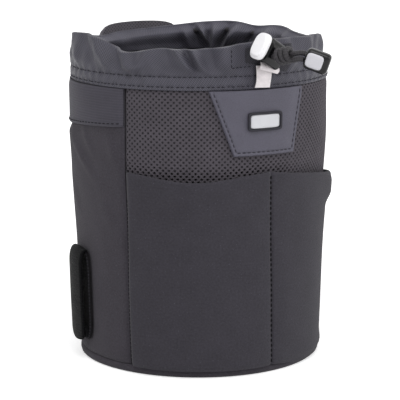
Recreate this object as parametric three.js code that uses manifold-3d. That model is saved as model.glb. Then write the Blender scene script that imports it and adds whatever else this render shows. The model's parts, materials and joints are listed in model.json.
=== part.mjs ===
// A drawstring lens pouch: a padded, slightly tapered fabric bucket with a flat base, a gathered
// collar that closes on a drawcord with a spring cord lock, a stretch pocket on the front and a
// belt loop with a hook-and-loop tongue on each side.
// Millimetres, +Z up. The origin is the middle of the base's underside, and -Y is the front.
// An angle runs round the pouch from the front, and is positive towards +X.
import * as THREE from "three";
import { mergeVertices } from "three/addons/utils/BufferGeometryUtils.js";
import Module from "manifold-3d";

const wasm = await Module();
wasm.setup();

const degrees = THREE.MathUtils.degToRad;
const { lerp, smoothstep } = THREE.MathUtils;

// Pouch walls
const SEAM_HEIGHT = 142; // where the collar is sewn on
const BASE_HALF_WIDTH = 62;
const BASE_FRONT_DEPTH = 62;
const BASE_BACK_DEPTH = 58;
const SEAM_HALF_WIDTH = 66;
const SEAM_FRONT_DEPTH = 64;
const SEAM_BACK_DEPTH = 60;
const PANEL_THICKNESS = 2.5;
const FRONT_HALF_ANGLE = degrees(65); // the front panel's seams
const BACK_HALF_ANGLE = degrees(40); // the back panel's seams, from the back
const FOAM_THICKNESS = 4;
const LINING_THICKNESS = 0.8;
const LAYER_GAP = 0.3; // between pieces that are sewn together or lie on each other
const FOAM_SLIT = 3; // the foam sleeve is a rolled sheet that stays open by this much
const ROUND_STEPS = 48; // facets of a full turn
const CUT_PAST = 1; // how far a cutting shape runs past what it cuts

// Base
const BASE_THICKNESS = 4;
const BASE_INSET = 0.6;
const BASE_EDGE = 1.4; // rounding of the base's lower edge
const PAD_THICKNESS = 5;

// Side patches
const PATCH_HEIGHT = 18.7;
const PATCH_BACK_DROP = 5.5; // of its lower edge, from its front end to its back one
const PATCH_THICKNESS = 0.6;

// Front pocket
const POCKET_TO_BADGE = 8.2; // from the mouth's highest points up to the badge
const POCKET_MOUTH_SAG = 3; // of the mouth between the left seam and the centre stitch
const POCKET_MOUTH_DROP = 11; // of the mouth from the centre stitch to the right seam
const POCKET_HEM = 2.5; // sewn strip along the pocket's foot
const POCKET_THICKNESS = 1.9;
const POCKET_PRESSED = 0.4; // share of its thickness that is left at a stitch
const POCKET_ROOM = 0.7; // slack between pocket and panel, away from the stitches
const POCKET_STITCH_HALF_ANGLE = degrees(2.4);
const POCKET_FLARE = 1.3; // how far the loose right-hand end of the mouth stands off
const POCKET_FLARE_ANGLE = degrees(52);
const POCKET_FLARE_SPREAD = degrees(10);
const POCKET_FLARE_HEIGHT = 20;

// Collar
const COLLAR_HEIGHT = 22.8;
const COLLAR_LIP = 0.4; // the collar stands proud of the wall by this much at its seam
const COLLAR_LEAN = 1.5; // how far the rim leans in
const COLLAR_BAND_HEIGHT = 7; // the part below the channel, sewn through both layers
const COLLAR_BAND_THICKNESS = 2.2;
const COLLAR_SKIN = 0.8;
const GATHER_DEPTH = 1.8; // of the folds at the rim
const GATHER_FOLDS = 5;
const GATHER_FINE_FOLDS = 9;
const GATHER_FINE_SHARE = 0.4;
// Where the slack rim sinks or stands up: the middle of each wave, its height and its width
const RIM_WAVES = [
  { middle: degrees(-158), height: -6.2, width: degrees(48) },
  { middle: degrees(-154), height: -1, width: degrees(10) },
  { middle: degrees(-87), height: 2.9, width: degrees(76) },
  { middle: degrees(-66), height: -6.6, width: degrees(13.6) },
  { middle: degrees(-37), height: -5, width: degrees(24.5) },
  { middle: degrees(81.5), height: -4.9, width: degrees(28) },
  { middle: degrees(120), height: -2.1, width: degrees(8.6) },
];
const CHANNEL_CROWN = 0.4; // extra cloth over the channel, at the rim
const RIM_ROUNDING = 2;

// Back pad
const BACK_PAD_THICKNESS = 6;
const BACK_PAD_HALF_WIDTH = 27;
const BACK_PAD_BOTTOM = 20;
const BACK_PAD_DROP = 0.5; // from the rim to the pad's top
const BACK_PAD_TOP_RADIUS = 14;
const BACK_PAD_LOW_RADIUS = 8;
const BACK_PAD_EDGE = 1.5; // rounding of its rims

// Drawcord
const CORD_DIAMETER = 2.5;
const CORD_CLEARANCE = 0.55; // round the cord in its channel
const CORD_PAIR_SPACING = 3.0; // between the two strands in the lock
const CORD_SLACK_IN_HOLE = 0.3;
const SLOT_ANGLE = degrees(-5.8);
const SLOT_HALF_WIDTH = 5.4;
const CORD_TURN_RADIUS = 3.2; // where a strand turns out of the channel

// Facing round the cord's slot
const FACING_THICKNESS = 0.6;
const FACING_LEFT = 6.5; // reaches from the slot's middle, along the collar
const FACING_RIGHT = 19;
const FACING_TIP = 14.5; // where its lower corner is
const FACING_RISE = 2.2; // reaches above and below the cords
const FACING_DROP = 11;
const FACING_LEFT_DROP = 5; // of its left and right lower corners
const FACING_RIGHT_DROP = 4.4;

// Cord lock
const LOCK_DROP = 4.6; // from the rim to the cord hole
const LOCK_YAW = degrees(15);
const LOCK_TILT = degrees(27);
const LOCK_ROLL = degrees(-10); // tips its cord hole down, away from the collar
const LOCK_HALF_WIDTH = 6.2;
const LOCK_HALF_DEPTH = 3.3;
const LOCK_CORNER = 2.6;
const LOCK_EDGE = 0.8; // rounding of its rims
const LOCK_BORE_CORNER = 1.6;
const LOCK_WALL = 1.5;
const LOCK_FLOOR = 1;
const BUTTON_TRAVEL = 2;
const BUTTON_BAR = 1; // the bar that squeezes the cords
const BUTTON_RAIL = 0.8; // the stem's two side rails
const BUTTON_CAP_HALF_WIDTH = 6.6;
const BUTTON_CAP_HALF_DEPTH = 4.6;
const BUTTON_CAP_THICKNESS = 3.4;
const BUTTON_CAP_CORNER = 3.6;
const BUTTON_CAP_EDGE = 0.7;
const BUTTON_TIER_THICKNESS = 1.3; // the cap's raised middle
const BUTTON_TIER_INSET = 0.9;
const BUTTON_WINDOW_CORNER = 0.6;
const BUTTON_STEM_SEAT = 0.5; // how far the stem runs into the cap
const LOCK_MOUTH = 2.2; // lock body above the cord hole
const SPRING_WIRE = 0.5;
const SPRING_TURNS = 3;
const SPRING_PITCH = 1.1;
const SPRING_HALF_WIDTH = 1.1;

// Cord tail with its knot, and the cord end
const KNOT_TURNS = 2.5;
const KNOT_GAP = 0.45; // between neighbouring wraps
const KNOT_LEAD = 2; // straight cord between the lock and the knot
const KNOT_EASE = 3; // cord length over which a strand turns into the wraps
const TAIL_HEADING = degrees(16); // from straight ahead, to the right
const TAIL_RISE = degrees(13);
const TAIL_ROLL = degrees(26); // of the pair of strands
// Centre line of the straight strand beyond the knot, chosen by eye
const TAIL_ROUTE = [
  [0, 0, 0],
  [1.8, 0.05, 0.05],
  [3.4, 0.4, 0],
  [4.7, 0.95, -0.35],
  [5.8, 1.6, -0.9],
];
const TAIL_END_YAW = degrees(34);
const TAIL_END_DROOP = degrees(30);
const CORD_END_LENGTH = 11.8;
const CORD_END_WIDTH = 10;
const CORD_END_THICKNESS = 6.6;
const CORD_END_CORNER = 2.6;
const CORD_END_EDGE = 1;
const CORD_END_FACE_EDGE = 0.4;
const CORD_END_FACE_LENGTH = 8.2;
const CORD_END_FACE_WIDTH = 7;
const CORD_END_FACE_DEPTH = 1.6;
const CORD_END_FACE_PROUD = 0.5;
const CORD_END_FACE_SHIFT = 1; // towards the cord

// Care label
const LABEL_WIDTH = 7.6;
const LABEL_LENGTH = 14;
const LABEL_LEAF_WIDTH = 4.6;
const LABEL_LEAF_LENGTH = 12;
const LABEL_LEAF_TURN = degrees(64);
const LABEL_LEAF_DROP = 7.5; // from the label's top to the turned leaf's lower corner
const LABEL_THICKNESS = 0.5;
const LABEL_FOLD = 0.1; // how far the two leaves run into each other at their fold

// Badge
const BADGE_TOP_LEFT = degrees(-27.6);
const BADGE_TOP_RIGHT = degrees(17.3);
const BADGE_LOW_LEFT = degrees(-16.8);
const BADGE_LOW_RIGHT = degrees(12.5);
const BADGE_HEIGHT = 32.3;
const BADGE_THICKNESS = 1.2;
const PLATE_ANGLE = degrees(-3.4);
const PLATE_HALF_ANGLE = degrees(7.9);
const PLATE_DROP = 15.4; // from the collar seam to the plate's middle
const PLATE_HEIGHT = 9.2;
const PLATE_RIM = 1.1;
const PLATE_THICKNESS = 1.3;
const PLATE_INLAY_THICKNESS = 0.9;

// Belt loops
const LOOP_ANGLE = degrees(98.5);
const LOOP_MIDDLE_HEIGHT = 35.5;
const LOOP_HALF_HEIGHT = 24.5;
const LOOP_BASE_HALF_WIDTH = 9.5;
const LOOP_BASE_THICKNESS = 0.8;
const LOOP_CORNER = 8;
const TONGUE_HALF_WIDTH = 8;
const TONGUE_THICKNESS = 1.6;
const TONGUE_CORNER = 5.5;
const BELT_GAP = 5.5; // room for the belt
const TONGUE_ROOT = 3; // sewn part at the top
const TONGUE_BEND = 6; // height over which the tongue bows out, and in again
const CLOSURE_HEIGHT = 8.5;
const CLOSURE_PAD_THICKNESS = 0.5;
const CLOSURE_PAD_INSET = 1.2;

const CORD_RADIUS = CORD_DIAMETER / 2;
const HALF_TURN = Math.PI;
const FULL_TURN = 2 * Math.PI;

// Joins, cuts and closed surfaces

function toSolid(geometry) {
  const bare = new THREE.BufferGeometry().setAttribute(
    "position",
    (geometry.index ? geometry.toNonIndexed() : geometry).getAttribute("position"),
  );
  const merged = mergeVertices(bare, 1e-4);
  const mesh = new wasm.Mesh({
    numProp: 3,
    vertProperties: merged.attributes.position.array,
    triVerts: new Uint32Array(merged.index.array),
  });
  return new wasm.Manifold(mesh);
}

function toGeometry(solid) {
  const mesh = solid.getMesh();
  const geometry = new THREE.BufferGeometry();
  geometry.setAttribute("position", new THREE.BufferAttribute(mesh.vertProperties, 3));
  geometry.setIndex(new THREE.BufferAttribute(mesh.triVerts, 1));
  return geometry;
}

function cut(geometry, ...tools) {
  return toGeometry(tools.reduce((left, tool) => left.subtract(toSolid(tool)), toSolid(geometry)));
}

function join(...geometries) {
  return toGeometry(geometries.map(toSolid).reduce((all, next) => all.add(next)));
}

function common(first, second) {
  return toGeometry(toSolid(first).intersect(toSolid(second)));
}

function fromTriangles(points, triangles) {
  const geometry = new THREE.BufferGeometry().setFromPoints(points);
  geometry.setIndex(triangles);
  return geometry;
}

// A slab between two grids of points. outer and inner give a point for u and v from 0 to 1, where
// u runs to the right and v runs up when the slab is seen from outside.
function slab(across, up, outer, inner) {
  const points = [];
  for (const side of [outer, inner])
    for (let j = 0; j <= up; j++)
      for (let i = 0; i <= across; i++) points.push(side(i / across, j / up));
  const layer = (across + 1) * (up + 1);
  const at = (i, j, side) => side * layer + j * (across + 1) + i;
  const triangles = [];
  const quad = (a, b, c, d) => triangles.push(a, b, c, a, c, d);
  for (let j = 0; j < up; j++)
    for (let i = 0; i < across; i++) {
      quad(at(i, j, 0), at(i + 1, j, 0), at(i + 1, j + 1, 0), at(i, j + 1, 0));
      quad(at(i, j, 1), at(i, j + 1, 1), at(i + 1, j + 1, 1), at(i + 1, j, 1));
    }
  for (let i = 0; i < across; i++) {
    quad(at(i, 0, 0), at(i, 0, 1), at(i + 1, 0, 1), at(i + 1, 0, 0));
    quad(at(i, up, 0), at(i + 1, up, 0), at(i + 1, up, 1), at(i, up, 1));
  }
  for (let j = 0; j < up; j++) {
    quad(at(0, j, 0), at(0, j + 1, 0), at(0, j + 1, 1), at(0, j, 1));
    quad(at(across, j, 0), at(across, j, 1), at(across, j + 1, 1), at(across, j + 1, 0));
  }
  return fromTriangles(points, triangles);
}

// A ring swept through a full turn. profile gives the section's points at an angle, anticlockwise
// when the outside is on the right.
function ring(profile) {
  const points = [];
  const triangles = [];
  const count = profile(0).length;
  for (let i = 0; i < ROUND_STEPS; i++) points.push(...profile((FULL_TURN * i) / ROUND_STEPS));
  for (let i = 0; i < ROUND_STEPS; i++)
    for (let j = 0; j < count; j++) {
      const here = i * count;
      const next = ((i + 1) % ROUND_STEPS) * count;
      const after = (j + 1) % count;
      triangles.push(here + j, next + j, next + after, here + j, next + after, here + after);
    }
  return fromTriangles(points, triangles);
}

// A solid stack of wall outlines, each level an inset and a height, closed at both ends.
function stack(levels) {
  const points = levels.flatMap(({ out, z }) =>
    Array.from({ length: ROUND_STEPS }, (_, i) => wallPoint((FULL_TURN * i) / ROUND_STEPS, z, out)),
  );
  const foot = points.push(new THREE.Vector3(0, 0, levels[0].z)) - 1;
  const head = points.push(new THREE.Vector3(0, 0, levels.at(-1).z)) - 1;
  const top = (levels.length - 1) * ROUND_STEPS;
  const triangles = [];
  for (let i = 0; i < ROUND_STEPS; i++) {
    const next = (i + 1) % ROUND_STEPS;
    triangles.push(foot, next, i, head, top + i, top + next);
    for (let k = 0; k < top; k += ROUND_STEPS) {
      triangles.push(k + i, k + next, k + ROUND_STEPS + next);
      triangles.push(k + i, k + ROUND_STEPS + next, k + ROUND_STEPS + i);
    }
  }
  return fromTriangles(points, triangles);
}

function roundedRectangle(halfWidth, halfHeight, radius) {
  const r = Math.min(radius, halfWidth, halfHeight);
  const shape = new THREE.Shape();
  shape.moveTo(halfWidth, r - halfHeight);
  shape.lineTo(halfWidth, halfHeight - r);
  shape.absarc(halfWidth - r, halfHeight - r, r, 0, HALF_TURN / 2);
  shape.lineTo(r - halfWidth, halfHeight);
  shape.absarc(r - halfWidth, halfHeight - r, r, HALF_TURN / 2, HALF_TURN);
  shape.lineTo(-halfWidth, r - halfHeight);
  shape.absarc(r - halfWidth, r - halfHeight, r, HALF_TURN, 1.5 * HALF_TURN);
  shape.lineTo(halfWidth - r, -halfHeight);
  shape.absarc(halfWidth - r, r - halfHeight, r, 1.5 * HALF_TURN, FULL_TURN);
  return shape;
}

// A shape in XY raised from z0 to z1, with its two rims rounded by edge.
function prism(shape, z0, z1, edge = 0) {
  const geometry = new THREE.ExtrudeGeometry(shape, {
    depth: z1 - z0 - 2 * edge,
    bevelEnabled: edge > 0,
    bevelThickness: edge,
    bevelSize: edge,
    bevelOffset: -edge,
    bevelSegments: 2,
    curveSegments: 4,
  });
  return geometry.translate(0, 0, z0 + edge);
}

// A cord of round section along a curve, with flat ends.
function tube(curve, radius, steps, sides) {
  const section = new THREE.Shape().absarc(0, 0, radius, 0, FULL_TURN);
  const outline = section.getSpacedPoints(sides).slice(0, sides);
  return new THREE.ExtrudeGeometry(new THREE.Shape(outline), {
    steps,
    extrudePath: curve,
    bevelEnabled: false,
  });
}

// The pouch's own surfaces

// A point at an angle and a height, out from the wall's outer face.
function wallPoint(angle, z, out) {
  const rise = Math.min(z / SEAM_HEIGHT, 1);
  const halfWidth = lerp(BASE_HALF_WIDTH, SEAM_HALF_WIDTH, rise) + out;
  const front = lerp(BASE_FRONT_DEPTH, SEAM_FRONT_DEPTH, rise) + out;
  const back = lerp(BASE_BACK_DEPTH, SEAM_BACK_DEPTH, rise) + out;
  const depth = Math.cos(angle) >= 0 ? front : back;
  return new THREE.Vector3(halfWidth * Math.sin(angle), -depth * Math.cos(angle), z);
}

// The folds that the drawcord pulls into the rim, out from its smooth line. They vanish at the slot.
function gather(angle) {
  const fromSlot = angle - SLOT_ANGLE;
  const folds = Math.sin(GATHER_FOLDS * fromSlot);
  const fineFolds = Math.sin(GATHER_FINE_FOLDS * fromSlot);
  return -GATHER_DEPTH * lerp(folds, fineFolds, GATHER_FINE_SHARE);
}

// How far the rim stands above its plain height at an angle.
function rimWave(angle) {
  const bell = ({ middle, height, width }) => {
    const away = Math.atan2(Math.sin(angle - middle), Math.cos(angle - middle));
    return height * Math.exp(-((away / width) ** 2));
  };
  return RIM_WAVES.reduce((sum, wave) => sum + bell(wave), 0);
}

// A point on the collar, out from the line of the wall's outer face. z is its height before the rim
// sinks, which moves the collar more the higher it is above its band.
function collarPoint(angle, z, out) {
  const rise = (z - SEAM_HEIGHT) / COLLAR_HEIGHT;
  const aboveBand = Math.max(z - SEAM_HEIGHT - COLLAR_BAND_HEIGHT, 0);
  const foldRise = aboveBand / (COLLAR_HEIGHT - COLLAR_BAND_HEIGHT);
  const moved = out - COLLAR_LEAN * rise + gather(angle) * foldRise ** 2;
  return wallPoint(angle, SEAM_HEIGHT, moved).setZ(z + rimWave(angle) * foldRise);
}

// A curved piece of wall between two angles and two heights, from out to out + thickness.
function wallPiece(from, to, z0, z1, out, thickness, across) {
  const at = (reach) => (u, v) => wallPoint(lerp(from, to, u), lerp(z0, z1, v), reach);
  return slab(across, 1, at(out + thickness), at(out));
}

// How far an angle moves for a distance along the wall.
const angleOf = (distance) => distance / SEAM_FRONT_DEPTH;

const pouch = new THREE.Group();

function material(color, roughness, metalness = 0) {
  return new THREE.MeshStandardMaterial({ color, roughness, metalness });
}

const stretchKnit = material(0x454247, 0.95);
const neoprene = material(0x3d3b41, 0.95);
const airMesh = material(0x48454b, 0.9);
const twill = material(0x51505a, 0.6);
const ripstop = material(0x4d4b53, 0.7);
const liningCloth = material(0x2d2c33, 0.7);
const foam = material(0x2a2a2e, 1);
const grainedLeather = material(0x636170, 0.55);
const blackRubber = material(0x2c2b31, 0.6);
const paleEnamel = material(0xd8d8dc, 0.4);
const cordBraid = material(0x2b292c, 0.85);
const blackPlastic = material(0x161618, 0.3);
const whitePlastic = material(0xf4f3f6, 0.4);
const greyPlastic = material(0xc4c3ca, 0.45);
const springSteel = material(0xa8a8aa, 0.3, 1);
const labelCloth = material(0xe6dfe0, 0.9);
const hookTape = material(0x151517, 0.95);
const coatedWeb = material(0x2f2f33, 0.7);

function add(name, geometry, look, parent = pouch) {
  const mesh = new THREE.Mesh(geometry, look);
  mesh.name = name;
  parent.add(mesh);
  return mesh;
}

// Base, its foam pad and its lining
const baseOut = -BASE_INSET;
const wallFoot = BASE_THICKNESS + LAYER_GAP;
const foamOut = -PANEL_THICKNESS - LAYER_GAP;
const liningOut = foamOut - FOAM_THICKNESS - LAYER_GAP;
const padTop = wallFoot + PAD_THICKNESS;
const sleeveFoot = padTop + LAYER_GAP;
const baseLiningTop = sleeveFoot + LINING_THICKNESS;

add(
  "base_panel",
  stack([
    { out: baseOut - BASE_EDGE, z: 0 },
    { out: baseOut - 0.3 * BASE_EDGE, z: 0.3 * BASE_EDGE },
    { out: baseOut, z: BASE_EDGE },
    { out: baseOut, z: BASE_THICKNESS },
  ]),
  stretchKnit,
);
add("base_pad", stack([{ out: foamOut, z: wallFoot }, { out: foamOut, z: padTop }]), foam);
add(
  "base_lining",
  stack([{ out: liningOut, z: sleeveFoot }, { out: liningOut, z: baseLiningTop }]),
  liningCloth,
);

// Wall panels
const wallTop = SEAM_HEIGHT - LAYER_GAP;
const seamGap = angleOf(LAYER_GAP) / 2;
const sideFrom = FRONT_HALF_ANGLE + seamGap;
const sideTo = HALF_TURN - BACK_HALF_ANGLE - seamGap;

function panel(name, from, to, across, look) {
  add(name, wallPiece(from, to, wallFoot, wallTop, -PANEL_THICKNESS, PANEL_THICKNESS, across), look);
}

panel("front_panel", seamGap - FRONT_HALF_ANGLE, FRONT_HALF_ANGLE - seamGap, 20, airMesh);
panel("left_side_panel", -sideTo, -sideFrom, 12, stretchKnit);
panel("right_side_panel", sideFrom, sideTo, 12, stretchKnit);
panel("back_panel", sideTo + 2 * seamGap, FULL_TURN - sideTo - 2 * seamGap, 12, stretchKnit);

// The foam sleeve is a rolled sheet. The lining turns out over its top edge to the collar's seam.
const flangeFoot = wallTop - LINING_THICKNESS;
const slitAngle = FOAM_SLIT / SEAM_BACK_DEPTH / 2;
add(
  "foam_sleeve",
  wallPiece(
    slitAngle - HALF_TURN,
    HALF_TURN - slitAngle,
    sleeveFoot,
    flangeFoot - LAYER_GAP,
    foamOut - FOAM_THICKNESS,
    FOAM_THICKNESS,
    ROUND_STEPS,
  ),
  foam,
);
add(
  "lining_sleeve",
  ring((angle) => {
    const inner = liningOut - LINING_THICKNESS;
    const foot = baseLiningTop + LAYER_GAP;
    return [
      wallPoint(angle, foot, liningOut),
      wallPoint(angle, flangeFoot, liningOut),
      wallPoint(angle, flangeFoot, foamOut),
      wallPoint(angle, wallTop, foamOut),
      wallPoint(angle, wallTop, inner),
      wallPoint(angle, foot, inner),
    ];
  }),
  liningCloth,
);

// A patch at the top of a side panel. Its lower edge runs down towards the back.
function sidePatch(from, to) {
  const at = (out) => (u, v) => {
    const angle = lerp(from, to, u);
    const backShare = (Math.abs(angle) - sideFrom) / (sideTo - sideFrom);
    const foot = SEAM_HEIGHT - PATCH_HEIGHT - PATCH_BACK_DROP * backShare;
    return wallPoint(angle, lerp(foot, wallTop, v), out);
  };
  return slab(12, 1, at(LAYER_GAP + PATCH_THICKNESS), at(LAYER_GAP));
}

add("left_patch", sidePatch(-sideTo, -sideFrom), ripstop);
add("right_patch", sidePatch(sideFrom, sideTo), ripstop);

// Front pocket, sewn down at its foot, at both side seams and along the middle
const pocketHalfAngle = FRONT_HALF_ANGLE - seamGap;

// From 0 at a stitch line to 1 in the middle of a compartment.
function pocketSlack(angle) {
  const toCentre = Math.abs(angle) / POCKET_STITCH_HALF_ANGLE;
  const toSeam = (pocketHalfAngle - Math.abs(angle)) / POCKET_STITCH_HALF_ANGLE;
  return Math.min(Math.min(toCentre, toSeam), 1);
}

const pocketTop = SEAM_HEIGHT - BADGE_HEIGHT - POCKET_TO_BADGE;

// The mouth's height: it sags on the left of the centre stitch and runs down on the right of it.
function pocketMouth(angle) {
  const share = Math.abs(angle) / pocketHalfAngle;
  if (angle > 0) return pocketTop - POCKET_MOUTH_DROP * share;
  return pocketTop - POCKET_MOUTH_SAG * Math.sin(HALF_TURN * share) ** 2;
}

function pocketFlare(angle, z) {
  const across = Math.exp(-(((angle - POCKET_FLARE_ANGLE) / POCKET_FLARE_SPREAD) ** 2));
  const mouth = pocketMouth(angle);
  const edge = Math.min(1, (pocketHalfAngle - angle) / POCKET_STITCH_HALF_ANGLE);
  return POCKET_FLARE * across * edge * smoothstep(z, mouth - POCKET_FLARE_HEIGHT, mouth);
}

// A face of the pocket, thickness away from the one that lies on the panel.
function pocketFace(thickness) {
  return (u, v) => {
    const angle = lerp(-pocketHalfAngle, pocketHalfAngle, u);
    const slack = pocketSlack(angle);
    const z = lerp(wallFoot, pocketMouth(angle), v ** 1.5);
    const room = POCKET_ROOM * slack * smoothstep(z, wallFoot + POCKET_HEM, wallFoot + 2 * POCKET_HEM);
    const out = LAYER_GAP + room + thickness * lerp(POCKET_PRESSED, 1, slack) + pocketFlare(angle, z);
    return wallPoint(angle, z, out);
  };
}

add("front_pocket", slab(40, 5, pocketFace(POCKET_THICKNESS), pocketFace(0)), neoprene);

// Collar with its cord channel and the slot that the cords leave by
const rimHeight = SEAM_HEIGHT + COLLAR_HEIGHT;
const lockHeight = rimHeight - LOCK_DROP;
const channelWidth = CORD_DIAMETER + 2 * CORD_CLEARANCE;
const channelMid = COLLAR_LIP - COLLAR_SKIN - channelWidth / 2;
const collarInner = COLLAR_LIP - 2 * COLLAR_SKIN - channelWidth;
const bandTop = SEAM_HEIGHT + COLLAR_BAND_HEIGHT;
const bandInner = COLLAR_LIP - COLLAR_BAND_THICKNESS;

function collarRing() {
  const body = ring((angle) => {
    const at = (out, z) => collarPoint(angle, z, out);
    const middle = (COLLAR_LIP + collarInner) / 2;
    const shoulder = rimHeight - RIM_ROUNDING;
    return [
      at(COLLAR_LIP, SEAM_HEIGHT),
      at(COLLAR_LIP, bandTop),
      at(COLLAR_LIP, (bandTop + shoulder) / 2),
      at(COLLAR_LIP, shoulder),
      at((COLLAR_LIP + middle) / 2, rimHeight - 0.3 * RIM_ROUNDING),
      at(middle, rimHeight),
      at((collarInner + middle) / 2, rimHeight - 0.3 * RIM_ROUNDING),
      at(collarInner, shoulder),
      at(collarInner, (bandTop + shoulder) / 2),
      at(collarInner, bandTop + COLLAR_SKIN),
      at(bandInner, bandTop - COLLAR_SKIN),
      at(bandInner, SEAM_HEIGHT),
    ];
  });
  const channel = ring((angle) => {
    const at = (out, z) => collarPoint(angle, z, out);
    const outer = COLLAR_LIP - COLLAR_SKIN;
    const inner = collarInner + COLLAR_SKIN;
    const ceiling = rimHeight - COLLAR_SKIN - CHANNEL_CROWN;
    const floor = bandTop + 2 * COLLAR_SKIN;
    return [
      at(outer, floor),
      at(outer, (floor + ceiling) / 2),
      at(outer, ceiling - COLLAR_SKIN),
      at(channelMid, ceiling),
      at(inner, ceiling - COLLAR_SKIN),
      at(inner, (floor + ceiling) / 2),
      at(inner, floor),
    ];
  });
  return cut(body, channel, slotPrism());
}

// Middle of the slot on the collar, and the height that the pair of cords needs.
const slotHalfHeight = CORD_PAIR_SPACING / 2 + CORD_RADIUS + CORD_SLACK_IN_HOLE;
const slotPlace = collarPoint(SLOT_ANGLE, lockHeight, channelMid);

// The slot through the collar's outer layer, from the middle of the channel outwards.
function slotPrism() {
  const depth = 4 * channelWidth;
  const box = new THREE.BoxGeometry(2 * SLOT_HALF_WIDTH, depth, 2 * slotHalfHeight);
  return box.translate(slotPlace.x, slotPlace.y - depth / 2, slotPlace.z);
}

add("collar", collarRing(), twill);

// Facing sewn on round the slot, with its lower corner under the cords
const facingOut = COLLAR_LIP + LAYER_GAP;
function slotFacing() {
  const sheet = (out) => (u, v) =>
    collarPoint(
      SLOT_ANGLE + angleOf(lerp(-FACING_LEFT, FACING_RIGHT, u)),
      lerp(lockHeight - FACING_DROP, lockHeight + FACING_RISE, v),
      out,
    );
  const outline = new THREE.Shape([
    new THREE.Vector2(-FACING_LEFT, FACING_RISE),
    new THREE.Vector2(-FACING_LEFT, -FACING_LEFT_DROP),
    new THREE.Vector2(FACING_TIP, -FACING_DROP),
    new THREE.Vector2(FACING_RIGHT, -FACING_RIGHT_DROP),
    new THREE.Vector2(FACING_RIGHT, FACING_RISE),
  ]);
  const reach = 2 * SEAM_FRONT_DEPTH;
  const shape = prism(outline, 0, reach).rotateX(HALF_TURN / 2).translate(slotPlace.x, 0, lockHeight);
  const cloth = slab(12, 6, sheet(facingOut + FACING_THICKNESS), sheet(facingOut));
  return cut(common(cloth, shape), slotPrism());
}
add("slot_facing", slotFacing(), twill);

// Back pad: flat behind, hollowed to lie on the wall and the collar
const backFace = SEAM_BACK_DEPTH + BACK_PAD_THICKNESS;
const padClear = LAYER_GAP;
const PAD_STEP = 0.05; // height over which the pad's hollow steps out round the collar
function backPad() {
  const outline = new THREE.Shape();
  const w = BACK_PAD_HALF_WIDTH;
  const top = rimHeight - BACK_PAD_DROP;
  const rTop = BACK_PAD_TOP_RADIUS;
  const rLow = BACK_PAD_LOW_RADIUS;
  outline.moveTo(w, BACK_PAD_BOTTOM + rLow);
  outline.lineTo(w, top - rTop);
  outline.absarc(w - rTop, top - rTop, rTop, 0, HALF_TURN / 2);
  outline.lineTo(rTop - w, top);
  outline.absarc(rTop - w, top - rTop, rTop, HALF_TURN / 2, HALF_TURN);
  outline.lineTo(-w, BACK_PAD_BOTTOM + rLow);
  outline.absarc(rLow - w, BACK_PAD_BOTTOM + rLow, rLow, HALF_TURN, 1.5 * HALF_TURN);
  outline.lineTo(w - rLow, BACK_PAD_BOTTOM);
  outline.absarc(w - rLow, BACK_PAD_BOTTOM + rLow, rLow, 1.5 * HALF_TURN, FULL_TURN);
  const block = prism(outline, 0, backFace, BACK_PAD_EDGE)
    .rotateX(HALF_TURN / 2)
    .translate(0, backFace, 0);
  const collarReach = COLLAR_LIP + GATHER_DEPTH + padClear;
  const wall = stack([
    { out: padClear, z: 0 },
    { out: padClear, z: SEAM_HEIGHT - padClear },
    { out: collarReach, z: SEAM_HEIGHT - padClear + PAD_STEP },
    { out: collarReach, z: rimHeight + CUT_PAST },
  ]);
  return cut(block, wall);
}
add("back_pad", backPad(), airMesh);

// Cord lock. Its frame has z along the plunger towards the button and y along the cord hole,
// towards the collar.
const strandAside = CORD_PAIR_SPACING / 2;
const holeHalfWidth = strandAside + CORD_RADIUS + CORD_SLACK_IN_HOLE;
const holeHalfHeight = CORD_RADIUS + CORD_SLACK_IN_HOLE;
const stemHalfWidth = holeHalfWidth + BUTTON_RAIL;
const boreHalfWidth = stemHalfWidth + LAYER_GAP;
const boreHalfDepth = LOCK_HALF_DEPTH - LOCK_WALL;
const stemHalfDepth = boreHalfDepth - LAYER_GAP;
const stemFoot = -holeHalfHeight - BUTTON_BAR;
const springHeight = SPRING_TURNS * SPRING_PITCH + SPRING_WIRE;
const boreFloor = stemFoot - springHeight - 2 * LAYER_GAP;
const lockFoot = boreFloor - LOCK_FLOOR;
const lockTop = holeHalfHeight + LOCK_MOUTH;
const capFoot = lockTop + BUTTON_TRAVEL + LAYER_GAP;
const lockHalfWidth = Math.max(LOCK_HALF_WIDTH, boreHalfWidth + LOCK_WALL);

const lock = new THREE.Group();
lock.rotation.set(0, LOCK_TILT - HALF_TURN / 2, LOCK_ROLL);
const lockYaw = new THREE.Group();
lockYaw.rotation.z = LOCK_YAW;
lockYaw.add(lock);
lockYaw.updateMatrixWorld();
const pairAxis = new THREE.Vector3(1, 0, 0).transformDirection(lock.matrixWorld);
const holeAxis = new THREE.Vector3(0, -1, 0).transformDirection(lock.matrixWorld);

// The corner that comes nearest to the collar sets how far the lock stands off.
const lockCorners = [lockHalfWidth, -lockHalfWidth].flatMap((x) =>
  [lockFoot, lockTop].map((z) => new THREE.Vector3(x, LOCK_HALF_DEPTH, z).applyMatrix4(lock.matrixWorld)),
);
const lockReach = Math.max(...lockCorners.map((corner) => corner.y));
const lockLowest = lockHeight + Math.min(...lockCorners.map((corner) => corner.z));
const lockPlace = new THREE.Vector3(
  slotPlace.x + Math.sin(LOCK_YAW) * lockReach,
  collarPoint(0, lockLowest, facingOut + FACING_THICKNESS).y - LAYER_GAP - lockReach,
  lockHeight,
);
lockYaw.position.copy(lockPlace);
pouch.add(lockYaw);

// A tool through the lock along y, for the cords or the stem's window.
function crossTool(halfWidth, z0, z1, corner) {
  const shape = roundedRectangle(halfWidth, (z1 - z0) / 2, corner);
  const reach = 2 * LOCK_HALF_DEPTH;
  return prism(shape, -reach, reach).rotateX(HALF_TURN / 2).translate(0, 0, (z0 + z1) / 2);
}

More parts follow.
